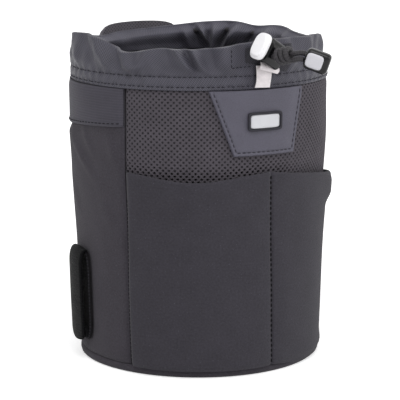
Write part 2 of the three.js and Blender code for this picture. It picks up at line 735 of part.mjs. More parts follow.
const lockOutline = roundedRectangle(lockHalfWidth, LOCK_HALF_DEPTH, LOCK_CORNER);
const lockBlock = prism(lockOutline, lockFoot, lockTop, LOCK_EDGE);
const boreOutline = roundedRectangle(boreHalfWidth, boreHalfDepth, LOCK_BORE_CORNER);
const plungerBore = prism(boreOutline, boreFloor, lockTop + CUT_PAST);
const cordHole = crossTool(holeHalfWidth, -holeHalfHeight, holeHalfHeight, holeHalfHeight);
add("lock_body", cut(lockBlock, plungerBore, cordHole), blackPlastic, lock);

const stemOutline = roundedRectangle(stemHalfWidth, stemHalfDepth, LOCK_BORE_CORNER - LAYER_GAP);
const stem = prism(stemOutline, stemFoot, capFoot + BUTTON_STEM_SEAT);
const windowTop = holeHalfHeight + BUTTON_TRAVEL;
const stemWindow = crossTool(holeHalfWidth, -holeHalfHeight, windowTop, BUTTON_WINDOW_CORNER);
function capBlock(inset, z0, z1) {
  const halfWidth = BUTTON_CAP_HALF_WIDTH - inset;
  const halfDepth = BUTTON_CAP_HALF_DEPTH - inset;
  return prism(roundedRectangle(halfWidth, halfDepth, BUTTON_CAP_CORNER - inset), z0, z1, BUTTON_CAP_EDGE);
}
const capTop = capFoot + BUTTON_CAP_THICKNESS;
const capRim = capBlock(0, capFoot, capTop - BUTTON_TIER_THICKNESS);
const capTier = capBlock(BUTTON_TIER_INSET, capFoot, capTop);
add("lock_button", join(cut(stem, stemWindow), capRim, capTier), whitePlastic, lock);

function springCoil() {
  const steps = SPRING_TURNS * 8;
  const foot = boreFloor + LAYER_GAP + SPRING_WIRE / 2;
  const points = Array.from({ length: steps + 1 }, (_, i) => {
    const turn = (FULL_TURN * i) / 8;
    const z = foot + (SPRING_PITCH * i) / 8;
    return new THREE.Vector3(SPRING_HALF_WIDTH * Math.cos(turn), SPRING_HALF_WIDTH * Math.sin(turn), z);
  });
  return tube(new THREE.CatmullRomCurve3(points), SPRING_WIRE / 2, steps, 5);
}
add("lock_spring", springCoil(), springSteel, lock);

// Drawcord: in from the lock by the upper strand, once round the channel and out by the lower one
// The strand's points from the lock's face to the turn into the channel. side is 1 for the upper
// strand, which turns left, and -1 for the lower one, which turns right.
function strandIn(side) {
  const middle = lockPlace.clone().addScaledVector(pairAxis, side * strandAside);
  const z = middle.z;
  const turned = SLOT_ANGLE - side * angleOf(CORD_TURN_RADIUS);
  const half = SLOT_ANGLE - side * angleOf(0.35 * CORD_TURN_RADIUS);
  return [
    middle.clone().addScaledVector(holeAxis, LOCK_HALF_DEPTH),
    middle,
    middle.clone().addScaledVector(holeAxis, -LOCK_HALF_DEPTH - LAYER_GAP),
    collarPoint(half, z, channelMid + 0.45 * CORD_TURN_RADIUS),
    collarPoint(turned, z, channelMid + 0.1 * CORD_TURN_RADIUS),
    collarPoint(turned - side * angleOf(CORD_TURN_RADIUS), z, channelMid),
  ];
}

function drawcordCurve() {
  const upper = strandIn(1);
  const lower = strandIn(-1).reverse();
  const along = 40;
  const start = SLOT_ANGLE - 2 * angleOf(CORD_TURN_RADIUS);
  const end = SLOT_ANGLE + 2 * angleOf(CORD_TURN_RADIUS) - FULL_TURN;
  const round = Array.from({ length: along - 1 }, (_, i) => {
    const share = (i + 1) / along;
    return collarPoint(lerp(start, end, share), lerp(upper[0].z, lower[0].z, share), channelMid);
  });
  return new THREE.CatmullRomCurve3([...upper, ...round, ...lower], false, "centripetal");
}
add("drawcord", tube(drawcordCurve(), CORD_RADIUS, 72, 8), cordBraid);

// Cord tail. Its frame starts at the lock's face, with x along the cord, y to the right and z up.
// One strand runs straight and the other winds round it.
const tail = new THREE.Group();
tail.position
  .copy(lockPlace)
  .addScaledVector(holeAxis, LOCK_HALF_DEPTH + KNOT_LEAD)
  .addScaledVector(pairAxis, -strandAside);
tail.rotation.set(0, -TAIL_RISE, TAIL_HEADING - HALF_TURN / 2, "ZYX");
pouch.add(tail);
tail.updateMatrixWorld();

// The straight start of a strand, in line with the cord in the lock.
function strandOut(side) {
  const middle = lockPlace.clone().addScaledVector(pairAxis, side * strandAside);
  return [LAYER_GAP, KNOT_LEAD / 2].map((away) =>
    tail.worldToLocal(middle.clone().addScaledVector(holeAxis, LOCK_HALF_DEPTH + away)),
  );
}

// The winding strand step by step, as lengths along the axis and turns round it. It eases from
// straight into the wraps, winds with a gap between them, and eases straight again.
function windingSteps() {
  const wrapSlope = Math.atan2(FULL_TURN * CORD_PAIR_SPACING, CORD_DIAMETER + KNOT_GAP);
  const easeSteps = 6;
  const step = KNOT_EASE / easeSteps;
  const easeIn = Array.from({ length: easeSteps }, (_, i) => wrapSlope * smoothstep(i + 0.5, 0, easeSteps));
  const turnOf = (slope) => (step * Math.sin(slope)) / CORD_PAIR_SPACING;
  const easeTurn = easeIn.reduce((sum, slope) => sum + turnOf(slope), 0);
  const wraps = Math.ceil((FULL_TURN * KNOT_TURNS - 2 * easeTurn) / turnOf(wrapSlope));
  const slopes = [...easeIn, ...Array(wraps).fill(wrapSlope), ...easeIn.toReversed()];
  const rows = [{ along: 0, turn: 0 }];
  for (const slope of slopes) {
    const { along, turn } = rows.at(-1);
    rows.push({ along: along + step * Math.cos(slope), turn: turn + turnOf(slope) });
  }
  return rows;
}

const winding = windingSteps();
const knotEnd = winding.at(-1);
const windingPoint = ({ along, turn }) =>
  new THREE.Vector3(
    along,
    CORD_PAIR_SPACING * Math.sin(TAIL_ROLL - turn),
    CORD_PAIR_SPACING * Math.cos(TAIL_ROLL - turn),
  );

// Both strands beyond the knot: they turn right and droop. Each point's share of the final turn
// tips the winding strand's offset, so that both end square to the cord end.
const tailRoute = TAIL_ROUTE.map(([x, y, z]) => new THREE.Vector3(knotEnd.along + x, y, z));
const strandOffset = windingPoint({ along: 0, turn: knotEnd.turn });
const tailTurn = (share) => new THREE.Euler(0, share * TAIL_END_DROOP, share * TAIL_END_YAW, "ZYX");
const tipped = (share) => strandOffset.clone().applyEuler(tailTurn(share));
const besideRoute = tailRoute.map((point, i) => point.clone().add(tipped(i / (tailRoute.length - 1))));

const corePoints = [...strandOut(-1), new THREE.Vector3(0, 0, 0), ...tailRoute];
const wrapPoints = [...strandOut(1), ...winding.map(windingPoint), ...besideRoute.slice(1)];
const coreCurve = new THREE.CatmullRomCurve3(corePoints, false, "centripetal");
const wrapCurve = new THREE.CatmullRomCurve3(wrapPoints, false, "centripetal");
add("cord_tail_core", tube(coreCurve, CORD_RADIUS, 14, 8), cordBraid, tail);
add("cord_tail_wrap", tube(wrapCurve, CORD_RADIUS, 84, 6), cordBraid, tail);

// Least gap between stretches of a wound cord that are further apart along it than half a turn.
function leastSelfGap(curve, diameter, halfTurn) {
  const count = 240;
  const points = curve.getSpacedPoints(count);
  const apart = Math.ceil((count * halfTurn) / curve.getLength());
  let least = Infinity;
  for (let i = 0; i <= count; i++)
    for (let j = i + apart; j <= count; j++) least = Math.min(least, points[i].distanceTo(points[j]));
  return least - diameter;
}
const knotGap = leastSelfGap(wrapCurve, CORD_DIAMETER, HALF_TURN * CORD_PAIR_SPACING);
console.log(`Knot's least gap to itself: ${knotGap.toFixed(2)} mm`);

// Cord end: a moulded clamp over both strands, with an inlaid face on its left
const cordEnd = new THREE.Group();
const tailHeading = new THREE.Vector3(1, 0, 0).applyEuler(tailTurn(1));
cordEnd.position
  .copy(tailRoute.at(-1))
  .lerp(besideRoute.at(-1), 0.5)
  .addScaledVector(tailHeading, LAYER_GAP + CORD_END_LENGTH / 2);
cordEnd.rotation.set(-TAIL_ROLL, TAIL_END_DROOP, TAIL_END_YAW, "ZYX");
tail.add(cordEnd);

// A block in the cord end's length and width, from y0 to y1 through its thickness.
function cordEndBlock(length, width, corner, y0, y1, edge) {
  return prism(roundedRectangle(length / 2, width / 2, corner), -y1, -y0, edge).rotateX(HALF_TURN / 2);
}

const faceBack = CORD_END_FACE_DEPTH - CORD_END_THICKNESS / 2;
const faceFront = -CORD_END_THICKNESS / 2 - CORD_END_FACE_PROUD;
const faceRecess = cordEndBlock(
  CORD_END_FACE_LENGTH + 2 * LAYER_GAP,
  CORD_END_FACE_WIDTH + 2 * LAYER_GAP,
  CORD_END_CORNER / 2 + LAYER_GAP,
  2 * faceFront,
  faceBack,
  0,
);
add(
  "cord_end_shell",
  cut(
    cordEndBlock(
      CORD_END_LENGTH,
      CORD_END_WIDTH,
      CORD_END_CORNER,
      -CORD_END_THICKNESS / 2,
      CORD_END_THICKNESS / 2,
      CORD_END_EDGE,
    ),
    faceRecess.translate(-CORD_END_FACE_SHIFT, 0, 0),
  ),
  blackPlastic,
  cordEnd,
);
add(
  "cord_end_face",
  cordEndBlock(
    CORD_END_FACE_LENGTH,
    CORD_END_FACE_WIDTH,
    CORD_END_CORNER / 2,
    faceFront,
    faceBack - LAYER_GAP,
    CORD_END_FACE_EDGE,
  ).translate(-CORD_END_FACE_SHIFT, 0, 0),
  greyPlastic,
  cordEnd,
);

// Care label: a folded ribbon sewn in under the cords, one leaf hanging and one turned aside
const labelPlace = collarPoint(
  0,
  lockHeight - slotHalfHeight - LAYER_GAP,
  facingOut + FACING_THICKNESS + LAYER_GAP + LABEL_THICKNESS / 2,
);
function careLabel() {
  const leaf = (width, length) =>
    new THREE.BoxGeometry(width, LABEL_THICKNESS, length).translate(width / 2, 0, -length / 2);
  const hanging = leaf(LABEL_WIDTH, LABEL_LENGTH);
  const turned = leaf(LABEL_LEAF_WIDTH, LABEL_LEAF_LENGTH)
    .rotateY(-LABEL_LEAF_TURN)
    .translate(0, LABEL_FOLD - LABEL_THICKNESS, -LABEL_LEAF_DROP);
  const leanBack = -Math.atan2(COLLAR_LEAN, COLLAR_HEIGHT);
  return join(hanging, turned)
    .rotateX(leanBack)
    .translate(slotPlace.x - LABEL_WIDTH / 2, labelPlace.y, labelPlace.z);
}
add("care_label", careLabel(), labelCloth);

// Badge under the collar, with a framed blank plate
const badgeOut = LAYER_GAP;
function badgeFace(out) {
  return (u, v) => {
    const from = lerp(BADGE_LOW_LEFT, BADGE_TOP_LEFT, v);
    const to = lerp(BADGE_LOW_RIGHT, BADGE_TOP_RIGHT, v);
    return wallPoint(lerp(from, to, u), lerp(SEAM_HEIGHT - BADGE_HEIGHT, wallTop, v), out);
  };
}
add("badge_patch", slab(10, 2, badgeFace(badgeOut + BADGE_THICKNESS), badgeFace(badgeOut)), grainedLeather);

const plateOut = badgeOut + BADGE_THICKNESS + LAYER_GAP;
const plateMiddle = SEAM_HEIGHT - PLATE_DROP;

// A curved plate on the badge, smaller all round than the frame by margin.
function plate(margin, out, thickness) {
  const aside = PLATE_HALF_ANGLE - angleOf(margin);
  const half = PLATE_HEIGHT / 2 - margin;
  const from = PLATE_ANGLE - aside;
  const to = PLATE_ANGLE + aside;
  return wallPiece(from, to, plateMiddle - half, plateMiddle + half, out, thickness, 6);
}
add(
  "badge_frame",
  cut(
    plate(0, plateOut, PLATE_THICKNESS),
    plate(PLATE_RIM, plateOut - CUT_PAST, PLATE_THICKNESS + 2 * CUT_PAST),
  ),
  blackRubber,
);
add("badge_plate", plate(PLATE_RIM + LAYER_GAP, plateOut, PLATE_INLAY_THICKNESS), paleEnamel);

// Belt loops. A loop's frame is at the wall, with x out, y along the wall and z up it.
const wallSlope = Math.atan2(SEAM_HALF_WIDTH - BASE_HALF_WIDTH, SEAM_HEIGHT);
const clearWall = stack([{ out: LAYER_GAP, z: 0 }, { out: LAYER_GAP, z: SEAM_HEIGHT }]);

// A flat pill-shaped prism standing out from the wall.
function pill(halfWidth, halfHeight, corner, x0, x1) {
  const shape = roundedRectangle(halfWidth, halfHeight, corner);
  return prism(shape, x0, x1).rotateX(HALF_TURN / 2).rotateZ(HALF_TURN / 2);
}

const loopFace = LAYER_GAP + LOOP_BASE_THICKNESS;
const rootInner = loopFace + LAYER_GAP;
const closureInner = loopFace + 3 * LAYER_GAP + 2 * CLOSURE_PAD_THICKNESS;
const bowInner = loopFace + BELT_GAP;
const closureTop = CLOSURE_HEIGHT - LOOP_HALF_HEIGHT;

// How far the tongue's inner face stands out at a height: sewn down at the root, bowed out over
// the belt, and in again at the closure.
function tongueInner(z) {
  const bowTop = LOOP_HALF_HEIGHT - TONGUE_ROOT - TONGUE_BEND;
  if (z > closureTop + TONGUE_BEND) {
    return lerp(bowInner, rootInner, smoothstep(z, bowTop, bowTop + TONGUE_BEND));
  }
  return lerp(closureInner, bowInner, smoothstep(z, closureTop, closureTop + TONGUE_BEND));
}

function tongueFace(thickness) {
  return (u, v) => {
    const z = -LOOP_HALF_HEIGHT * Math.cos(HALF_TURN * v);
    const toEnd = Math.max(TONGUE_CORNER - (LOOP_HALF_HEIGHT - Math.abs(z)), 0);
    const lower = z < 0 ? TONGUE_CORNER - Math.sqrt(TONGUE_CORNER ** 2 - toEnd ** 2) : 0;
    const y = (TONGUE_HALF_WIDTH - lower) * (2 * u - 1);
    return new THREE.Vector3(tongueInner(z) + thickness, y, z);
  };
}

function closurePad(inner) {
  const height = CLOSURE_HEIGHT / 2 - CLOSURE_PAD_INSET;
  const width = TONGUE_HALF_WIDTH - CLOSURE_PAD_INSET;
  const middle = closureTop - CLOSURE_HEIGHT / 2;
  return pill(width, height, height / 2, inner, inner + CLOSURE_PAD_THICKNESS).translate(0, 0, middle);
}

function beltLoop(side, angle) {
  const loop = new THREE.Group();
  loop.position.copy(wallPoint(angle, LOOP_MIDDLE_HEIGHT, 0));
  loop.rotation.set(0, wallSlope, angle - HALF_TURN / 2, "ZYX");
  loop.updateMatrixWorld();
  pouch.add(loop);

  const block = pill(LOOP_BASE_HALF_WIDTH, LOOP_HALF_HEIGHT, LOOP_CORNER, -LOOP_CORNER / 2, loopFace);
  const wallHere = clearWall.clone().applyMatrix4(loop.matrixWorld.clone().invert());
  add(`${side}_loop_base`, cut(block, wallHere), coatedWeb, loop);
  add(`${side}_loop_fleece`, closurePad(rootInner), hookTape, loop);
  add(`${side}_tongue`, slab(2, 24, tongueFace(TONGUE_THICKNESS), tongueFace(0)), coatedWeb, loop);
  add(
    `${side}_tongue_hook`,
    closurePad(rootInner + CLOSURE_PAD_THICKNESS + LAYER_GAP),
    hookTape,
    loop,
  );
}
beltLoop("left", -LOOP_ANGLE);
beltLoop("right", LOOP_ANGLE);

export default pouch;
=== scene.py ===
"""A drawstring lens pouch, dressed in its cloths, stitches, cords and mouldings.

Sizes are in millimetres and become metres where a mesh is made. An angle runs round the pouch from the
front, which is -Y, and is positive towards +X. out is a distance outwards from the wall's outer face.
A surface is an array of points with rows going up and columns going to the right, seen from outside.
"""
import json

import bpy
import numpy as np
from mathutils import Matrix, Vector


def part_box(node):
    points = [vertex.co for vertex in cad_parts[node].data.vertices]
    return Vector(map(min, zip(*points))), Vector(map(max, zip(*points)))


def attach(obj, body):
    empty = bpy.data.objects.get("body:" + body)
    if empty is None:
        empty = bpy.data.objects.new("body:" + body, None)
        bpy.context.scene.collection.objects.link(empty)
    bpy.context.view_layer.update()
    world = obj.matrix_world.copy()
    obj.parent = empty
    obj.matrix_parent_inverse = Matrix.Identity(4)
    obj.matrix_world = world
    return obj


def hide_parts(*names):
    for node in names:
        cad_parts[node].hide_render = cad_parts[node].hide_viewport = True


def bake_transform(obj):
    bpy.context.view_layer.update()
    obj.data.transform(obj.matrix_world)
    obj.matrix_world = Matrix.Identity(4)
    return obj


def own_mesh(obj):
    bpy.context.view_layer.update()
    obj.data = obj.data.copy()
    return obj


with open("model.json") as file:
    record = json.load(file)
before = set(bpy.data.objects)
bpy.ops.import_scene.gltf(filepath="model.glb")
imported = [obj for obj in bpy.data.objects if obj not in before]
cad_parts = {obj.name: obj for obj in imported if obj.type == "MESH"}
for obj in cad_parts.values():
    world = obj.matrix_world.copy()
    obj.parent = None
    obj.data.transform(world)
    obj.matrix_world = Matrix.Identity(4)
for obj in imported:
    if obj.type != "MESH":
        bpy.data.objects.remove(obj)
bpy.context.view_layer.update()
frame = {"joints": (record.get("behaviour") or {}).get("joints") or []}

MM = 0.001
TAU = 2 * np.pi
turn = np.radians

# Pouch walls. Half axes are the half width and the depths to the front and to the back
SEAM_HEIGHT = 142
BASE_AXES, SEAM_AXES = (62, 62, 58), (66, 64, 60)
MEAN_RADIUS = 64.0
PANEL_THICKNESS = 2.4
WALL_FOOT, WALL_TOP = 4.3, 141.7
FRONT_HALF_ANGLE = turn(65)
SIDE_END = turn(140)
LAYER_GAP = 0.3
SEAM_ARC = 0.45  # half the gap between two panels
SEAM_DIP, SEAM_DIP_WIDTH = 0.9, 1.7
TUCK, TUCK_HEIGHT = 0.9, 4.0  # how far the walls round in above the base, and over what height
PRESS, PRESS_ANGLE = 4.4, turn(70)  # how far the soft walls are pressed in, and where
PRESS_FRONT_WIDTH, PRESS_BACK_WIDTH = turn(24), turn(16)

# Collar
RIM_HEIGHT = 164.8
RIM_EDGE = 0.7
BAND_TOP = 149.0
COLLAR_LIP, BAND_INNER = 0.4, -1.8
COLLAR_LEAN, COLLAR_PINCH = 1.5, 4.4  # all round, and at the right
GATHER_DEPTH, COLLAR_SWELL = 1.8, 0.7
STITCH_ROWS = (143.6, 148.4)
STITCH_DIP, STITCH_DIP_WIDTH = 0.45, 0.8
SLOT_ANGLE = turn(-5.8)

# Cord and lock
CORD_RADIUS = 1.25
PAIR_SPACING = 3.0
STRAND_ASIDE = PAIR_SPACING / 2
LOCK_HEIGHT = 160.2
LOCK_PLACE = np.array([-4.9385, -70.2957, LOCK_HEIGHT])
LOCK_HALF_DEPTH = 3.3

# Stitches: pitch, length and radius
COLLAR_STITCH, BOX_STITCH, BADGE_STITCH = (2.5, 1.8, 0.18), (2.4, 1.7, 0.2), (2.6, 1.9, 0.17)
POCKET_STITCH, SEAM_STITCH, PATCH_STITCH = (2.6, 1.9, 0.42), (2.1, 1.95, 0.22), (2.8, 2.0, 0.2)
LOOP_STITCH = (1.7, 1.1, 0.22)


def smoothstep(x, low, high):
    """0 below low, 1 above high, and 3t^2 - 2t^3 between."""
    share = np.clip((x - low) / (high - low), 0, 1)
    return share * share * (3 - 2 * share)


def bell(x, middle, width):
    """A bell curve of height 1."""
    return np.exp(-(((x - middle) / width) ** 2))


def wrapped(value):
    """An angle brought to -pi to pi."""
    return (value + np.pi) % TAU - np.pi


def round_bell(angle, middle, width):
    """A bell curve round the pouch, its middle and width in degrees."""
    return bell(wrapped(angle - turn(middle)), 0, turn(width))


def signed_power(x, power):
    """A power of the size of x, with its sign."""
    return np.sign(x) * np.abs(x) ** power


def unit(vectors):
    """Vectors brought to length 1."""
    return vectors / np.linalg.norm(vectors, axis=-1, keepdims=True)


def arc_length(line):
    """How far along a line each of its points is."""
    return np.concatenate([[0], np.cumsum(np.linalg.norm(np.diff(line, axis=0), axis=1))])


# Meshes


def make_piece(name, points, faces, look, body="pouch", uv=None, slot=None, node=None, sharp=35):
    """A piece from an array of points in millimetres and a list of arrays of faces, all faces of one
    array having the same number of corners. uv gives, for each array of faces, its corners' UV. node is
    the CAD node that the piece stands for."""
    mesh = bpy.data.meshes.new(name)
    corners = np.concatenate([f.ravel() for f in faces]).astype(np.int32)
    sizes = np.concatenate([np.full(len(f), f.shape[1]) for f in faces])
    mesh.vertices.add(len(points))
    mesh.vertices.foreach_set("co", (np.asarray(points) * MM).astype(np.float32).ravel())
    mesh.loops.add(len(corners))
    mesh.loops.foreach_set("vertex_index", corners)
    mesh.polygons.add(len(sizes))
    starts = np.concatenate([[0], np.cumsum(sizes)[:-1]]).astype(np.int32)
    mesh.polygons.foreach_set("loop_start", starts)
    mesh.update(calc_edges=True)
    if uv is not None:
        corner_uv = np.concatenate([u.reshape(-1, 2) for u in uv]).astype(np.float32)
        mesh.uv_layers.new(name="UVMap").data.foreach_set("uv", corner_uv.ravel())
    mesh.polygons.foreach_set("use_smooth", np.ones(len(sizes), bool))
    mesh.set_sharp_from_angle(angle=turn(sharp))
    mesh.materials.append(look)
    piece = bpy.data.objects.new(name, mesh)
    bpy.context.scene.collection.objects.link(piece)
    if body:
        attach(piece, body)
    if node:
        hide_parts(node)
    return piece


def numbered(rows, columns):
    """The numbers of a grid's points, row by row."""
    return np.arange(rows * columns).reshape(rows, columns)


def skin(grid):
    """The cells between a grid's points, each with its corners anticlockwise."""
    corners = [grid[:-1, :-1], grid[:-1, 1:], grid[1:, 1:], grid[1:, :-1]]
    return np.stack(corners, -1).reshape(-1, 4)


def compact(points, faces):
    """Drops the points that no face uses."""
    used, flat = np.unique(np.concatenate([f.ravel() for f in faces]), return_inverse=True)
    split = np.cumsum([f.size for f in faces])[:-1]
    return points[used], [part.reshape(f.shape) for part, f in zip(np.split(flat, split), faces)]


def slab(name, outer, inner, uv, look, keep=None, **where):
    """A sheet with a thickness: two grids of points of one size, joined along their edges. keep names the
    rows that its inner side needs, where the outer one is far finer."""
    rows, columns = outer.shape[:2]
    points = np.concatenate([outer.reshape(-1, 3), inner.reshape(-1, 3)])
    flat = np.concatenate([uv.reshape(-1, 2)] * 2)
    front = numbered(rows, columns)
    back = front[list(range(rows)) if keep is None else keep] + rows * columns

    def rim(edge, behind):
        """The faces between an edge and the one behind it."""
        return np.stack([edge[:-1], behind[:-1], behind[1:], edge[1:]], -1)

    foot, head = rim(front[0], back[0]), rim(front[-1][::-1], back[-1][::-1])
    faces = [np.concatenate([skin(front), skin(back)[:, ::-1], foot, head])]
    faces.append(np.concatenate([front[:, 0], back[::-1, 0]])[None])
    faces.append(np.concatenate([back[:, -1], front[::-1, -1]])[None])
    maps = [flat[f] for f in faces]
    points, faces = compact(points, faces)
    return make_piece(name, points, faces, look, uv=maps, **where)


def closed_loft(name, points, uv, look, wrap_rows=False, **where):
    """A skin round a closed section: its last column is its first, and its ends are closed by flat faces
    unless its last row is its first too."""
    grid = numbered(*points.shape[:2])
    flat = uv.reshape(-1, 2)
    joined = grid.copy()
    joined[:, -1] = joined[:, 0]
    if wrap_rows:
        joined[-1] = joined[0]
    faces, maps = [skin(joined)], [flat[skin(grid)]]
    if not wrap_rows:
        for cap in (grid[0, -2::-1], grid[-1, :-1]):
            faces.append(cap[None])
            maps.append(flat[cap])
    points, faces = compact(points.reshape(-1, 3), faces)
    return make_piece(name, points, faces, look, uv=maps, **where)


def spline(points, per_span):
    """A smooth curve through points: Catmull-Rom cubics, each point's slope being half the step between
    its neighbours."""
    points = np.asarray(points, float)
    padded = np.concatenate([2 * points[:1] - points[1:2], points, 2 * points[-1:] - points[-2:-1]])
    p0, p1, p2, p3 = (padded[i : len(padded) - 3 + i, None] for i in range(4))
    t = (np.arange(per_span) / per_span)[None, :, None]
    curve = p1 + t / 2 * (p2 - p0 + t * (2 * p0 - 5 * p1 + 4 * p2 - p3 + t * (3 * (p1 - p2) + p3 - p0)))
    return np.concatenate([curve.reshape(-1, 3), points[-1:]])


def tube(name, line, radius, aside, look, sides=14, **where):
    """A round cord: a circle carried along a line, turned so that its first point faces aside."""
    along = unit(np.gradient(line, axis=0))
    aside = np.broadcast_to(aside, line.shape)
    first = unit(aside - along * (aside * along).sum(-1, keepdims=True))
    second = np.cross(along, first)
    around = np.linspace(0, TAU, sides + 1)
    ring = first[:, None] * np.cos(around)[:, None] + second[:, None] * np.sin(around)[:, None]
    points = line[:, None] + radius * ring
    uv = np.stack(np.broadcast_arrays(around / TAU, arc_length(line)[:, None]), -1)
    return closed_loft(name, points, uv, look, **where)


def superellipse(angle, half_x, half_y, power):
    """The points x, y of |x/a|^n + |y/b|^n = 1 in the directions of angle."""
    c, s = np.cos(angle), np.sin(angle)
    reach = (np.abs(c / half_x) ** power + np.abs(s / half_y) ** power) ** (-1 / power)
    return reach * c, reach * s


def moulding(name, axes, place, levels, power, look, **where):
    """A moulded block: superellipse sections at levels along its third axis. Each level is a height, a
    and b. axes are its three directions as rows."""
    angle = np.linspace(0, TAU, 49)
    height, half_x, half_y = np.array(levels, float).T[:, :, None]
    x, y = superellipse(angle, half_x, half_y, power)
    local = np.stack(np.broadcast_arrays(x, y, height), -1)
    uv = np.stack(np.broadcast_arrays(angle * half_x.max(), height), -1)
    return closed_loft(name, place + local @ np.asarray(axes), uv, look, **where)


def rounded_levels(low, high, half_x, half_y, edge, steps=6):
    """Levels of a block with both rims rounded by a quarter circle of radius edge."""
    q = np.linspace(0, np.pi / 2, steps)
    inset = edge * (1 - np.sin(q))
    rise = edge * (1 - np.cos(q))
    foot = np.stack([low + rise, half_x - inset, half_y - inset], -1)
    head = np.stack([high - rise, half_x - inset, half_y - inset], -1)[::-1]
    return np.concatenate([foot, head])


def cushion(name, half_x, half_y, power, front, back, place, look, steps=72, rings=14, **where):
    """A pad with a superellipse outline: rings of points shrink from the outline to the middle over its
    front, and over its back. place puts a point x, y at a depth."""
    x, y = superellipse(np.linspace(0, TAU, steps + 1)[None], half_x, half_y, power)
    share = np.sin(np.linspace(0.02, 1, rings) * np.pi / 2)
    share = np.concatenate([share, share[::-1]])[:, None]
    x, y = share * x, share * y
    in_front = (np.arange(2 * rings) >= rings)[:, None]
    depth = np.where(in_front, front(x, y, share), back(x, y, share))
    return closed_loft(name, place(x, y, depth), np.stack([x, y], -1), look, **where)


def stitches(name, line, outward, size, look):
    """Thread stitches along a line. Each is a short tube that arches over the cloth and dives in at both
    ends: its middle is lifted by radius * (0.75 - 1.9 t^4) for t from -1 to 1. size is the stitches'
    pitch, length and radius."""
    pitch, length, radius = size
    rings = sides = 6
    run = arc_length(line)
    count = max(2, int(round(run[-1] / pitch)))
    at = (np.arange(count) + 0.5) * run[-1] / count

    def sample(values):
        """Vectors along the line, read at the stitches."""
        return np.stack([np.interp(at, run, values[:, k]) for k in range(3)], -1)

    middle, up = sample(line), unit(sample(np.broadcast_to(outward, line.shape)))
    ahead = sample(unit(np.gradient(line, axis=0)))
    ahead = unit(ahead - up * (ahead * up).sum(-1, keepdims=True))
    side = np.cross(up, ahead)
    t = np.linspace(-1, 1, rings)[:, None]
    around = np.arange(sides) * TAU / sides
    lift = radius * (0.75 - 1.9 * t**4) + radius * np.sin(around) * (1 - 0.5 * t**4)
    aside = radius * np.cos(around) * (1 - 0.4 * t**4)
    reach = length / 2 * t + 0 * around
    points = middle[:, None, None]
    for direction, amount in ((ahead, reach), (up, lift), (side, aside)):
        points = points + direction[:, None, None] * amount[..., None]
    grid = numbered(rings, sides)
    quads = skin(np.concatenate([grid, grid[:, :1]], 1))[:, ::-1]
    ends = np.stack([grid[0], grid[-1][::-1]])
    start = np.arange(count)[:, None, None] * grid.size
    faces = [(part + start).reshape(-1, part.shape[1]) for part in (quads, ends)]
    return make_piece(name, points.reshape(-1, 3), faces, look, sharp=80)


# Shader expressions


def srgb(*levels):
    """A display colour from 0 to 255 as the linear colour that a shader takes."""
    share = np.array(levels, float) / 255
    linear = np.where(share <= 0.04045, share / 12.92, ((share + 0.055) / 1.055) ** 2.4)
    return (*linear.tolist(), 1.0)


def shade(colour, share):
    """A share of a display colour, as a shader takes it."""
    return srgb(*np.minimum(np.array(colour, float) * share, 255))


def math_node(operation, swapped=False):
    """A method that adds a Math node for a value alone or with another, the other first if swapped."""

    def method(self, *other):
        """The node's output for this value."""
        values = (*other, self) if swapped else (self, *other)
        return self.nodes.node("Math", {"operation": operation}, *values)

    return method


class Wire:
    """A value in a shader: arithmetic on it adds Math nodes."""

    def __init__(self, nodes, socket):
        self.nodes = nodes
        self.socket = socket

    __add__ = __radd__ = math_node("ADD")
    __sub__ = math_node("SUBTRACT")
    __rsub__ = math_node("SUBTRACT", swapped=True)
    __mul__ = __rmul__ = math_node("MULTIPLY")
    __truediv__ = math_node("DIVIDE")
    __pow__ = math_node("POWER")
    most = math_node("MAXIMUM")
    sine = math_node("SINE")
    part = math_node("FRACT")
    size = math_node("ABSOLUTE")

    def wave(self):
        """Its sine, brought to 0 to 1."""
        return self.sine() * 0.5 + 0.5

    def fold(self):
        """Its distance from the middle between two whole numbers."""
        return (self.part() - 0.5).size()

    def step(self, low, high):
        """0 below low and 1 above high, smoothly."""
        settings = {"interpolation_type": "SMOOTHSTEP"}
        return self.nodes.node("MapRange", settings, self, low, high, 0.0, 1.0)


class Nodes:
    """A tree of shader nodes that is written as expressions."""

    def __init__(self, tree):
        self.tree = tree

    def node(self, kind, settings, *values, out=0, **named):
        """Adds a node, sets it up, gives its sockets their values or links, and returns an output."""
        node = self.tree.nodes.new("ShaderNode" + kind)
        for key, value in settings.items():
            setattr(node, key, value)
        given = [(node.inputs[i], value) for i, value in enumerate(values)]
        given += [(node.inputs[key.replace("_", " ")], value) for key, value in named.items()]
        for socket, value in given:
            if isinstance(value, Wire):
                self.tree.links.new(value.socket, socket)
            elif value is not None:
                socket.default_value = value
        return Wire(self, node.outputs[out])

    def seen(self):
        """1 for the rays that see the studio, 0 for those that light the pouch."""
        rays = ("Camera", "Glossy", "Transmission")
        camera_ray, glossy, through = (self.node("LightPath", {}, out=f"Is {ray} Ray") for ray in rays)
        return camera_ray.most(glossy).most(through)


CLOTH_GLOSS = 0.12  # matte cloth reflects less than smooth plastic


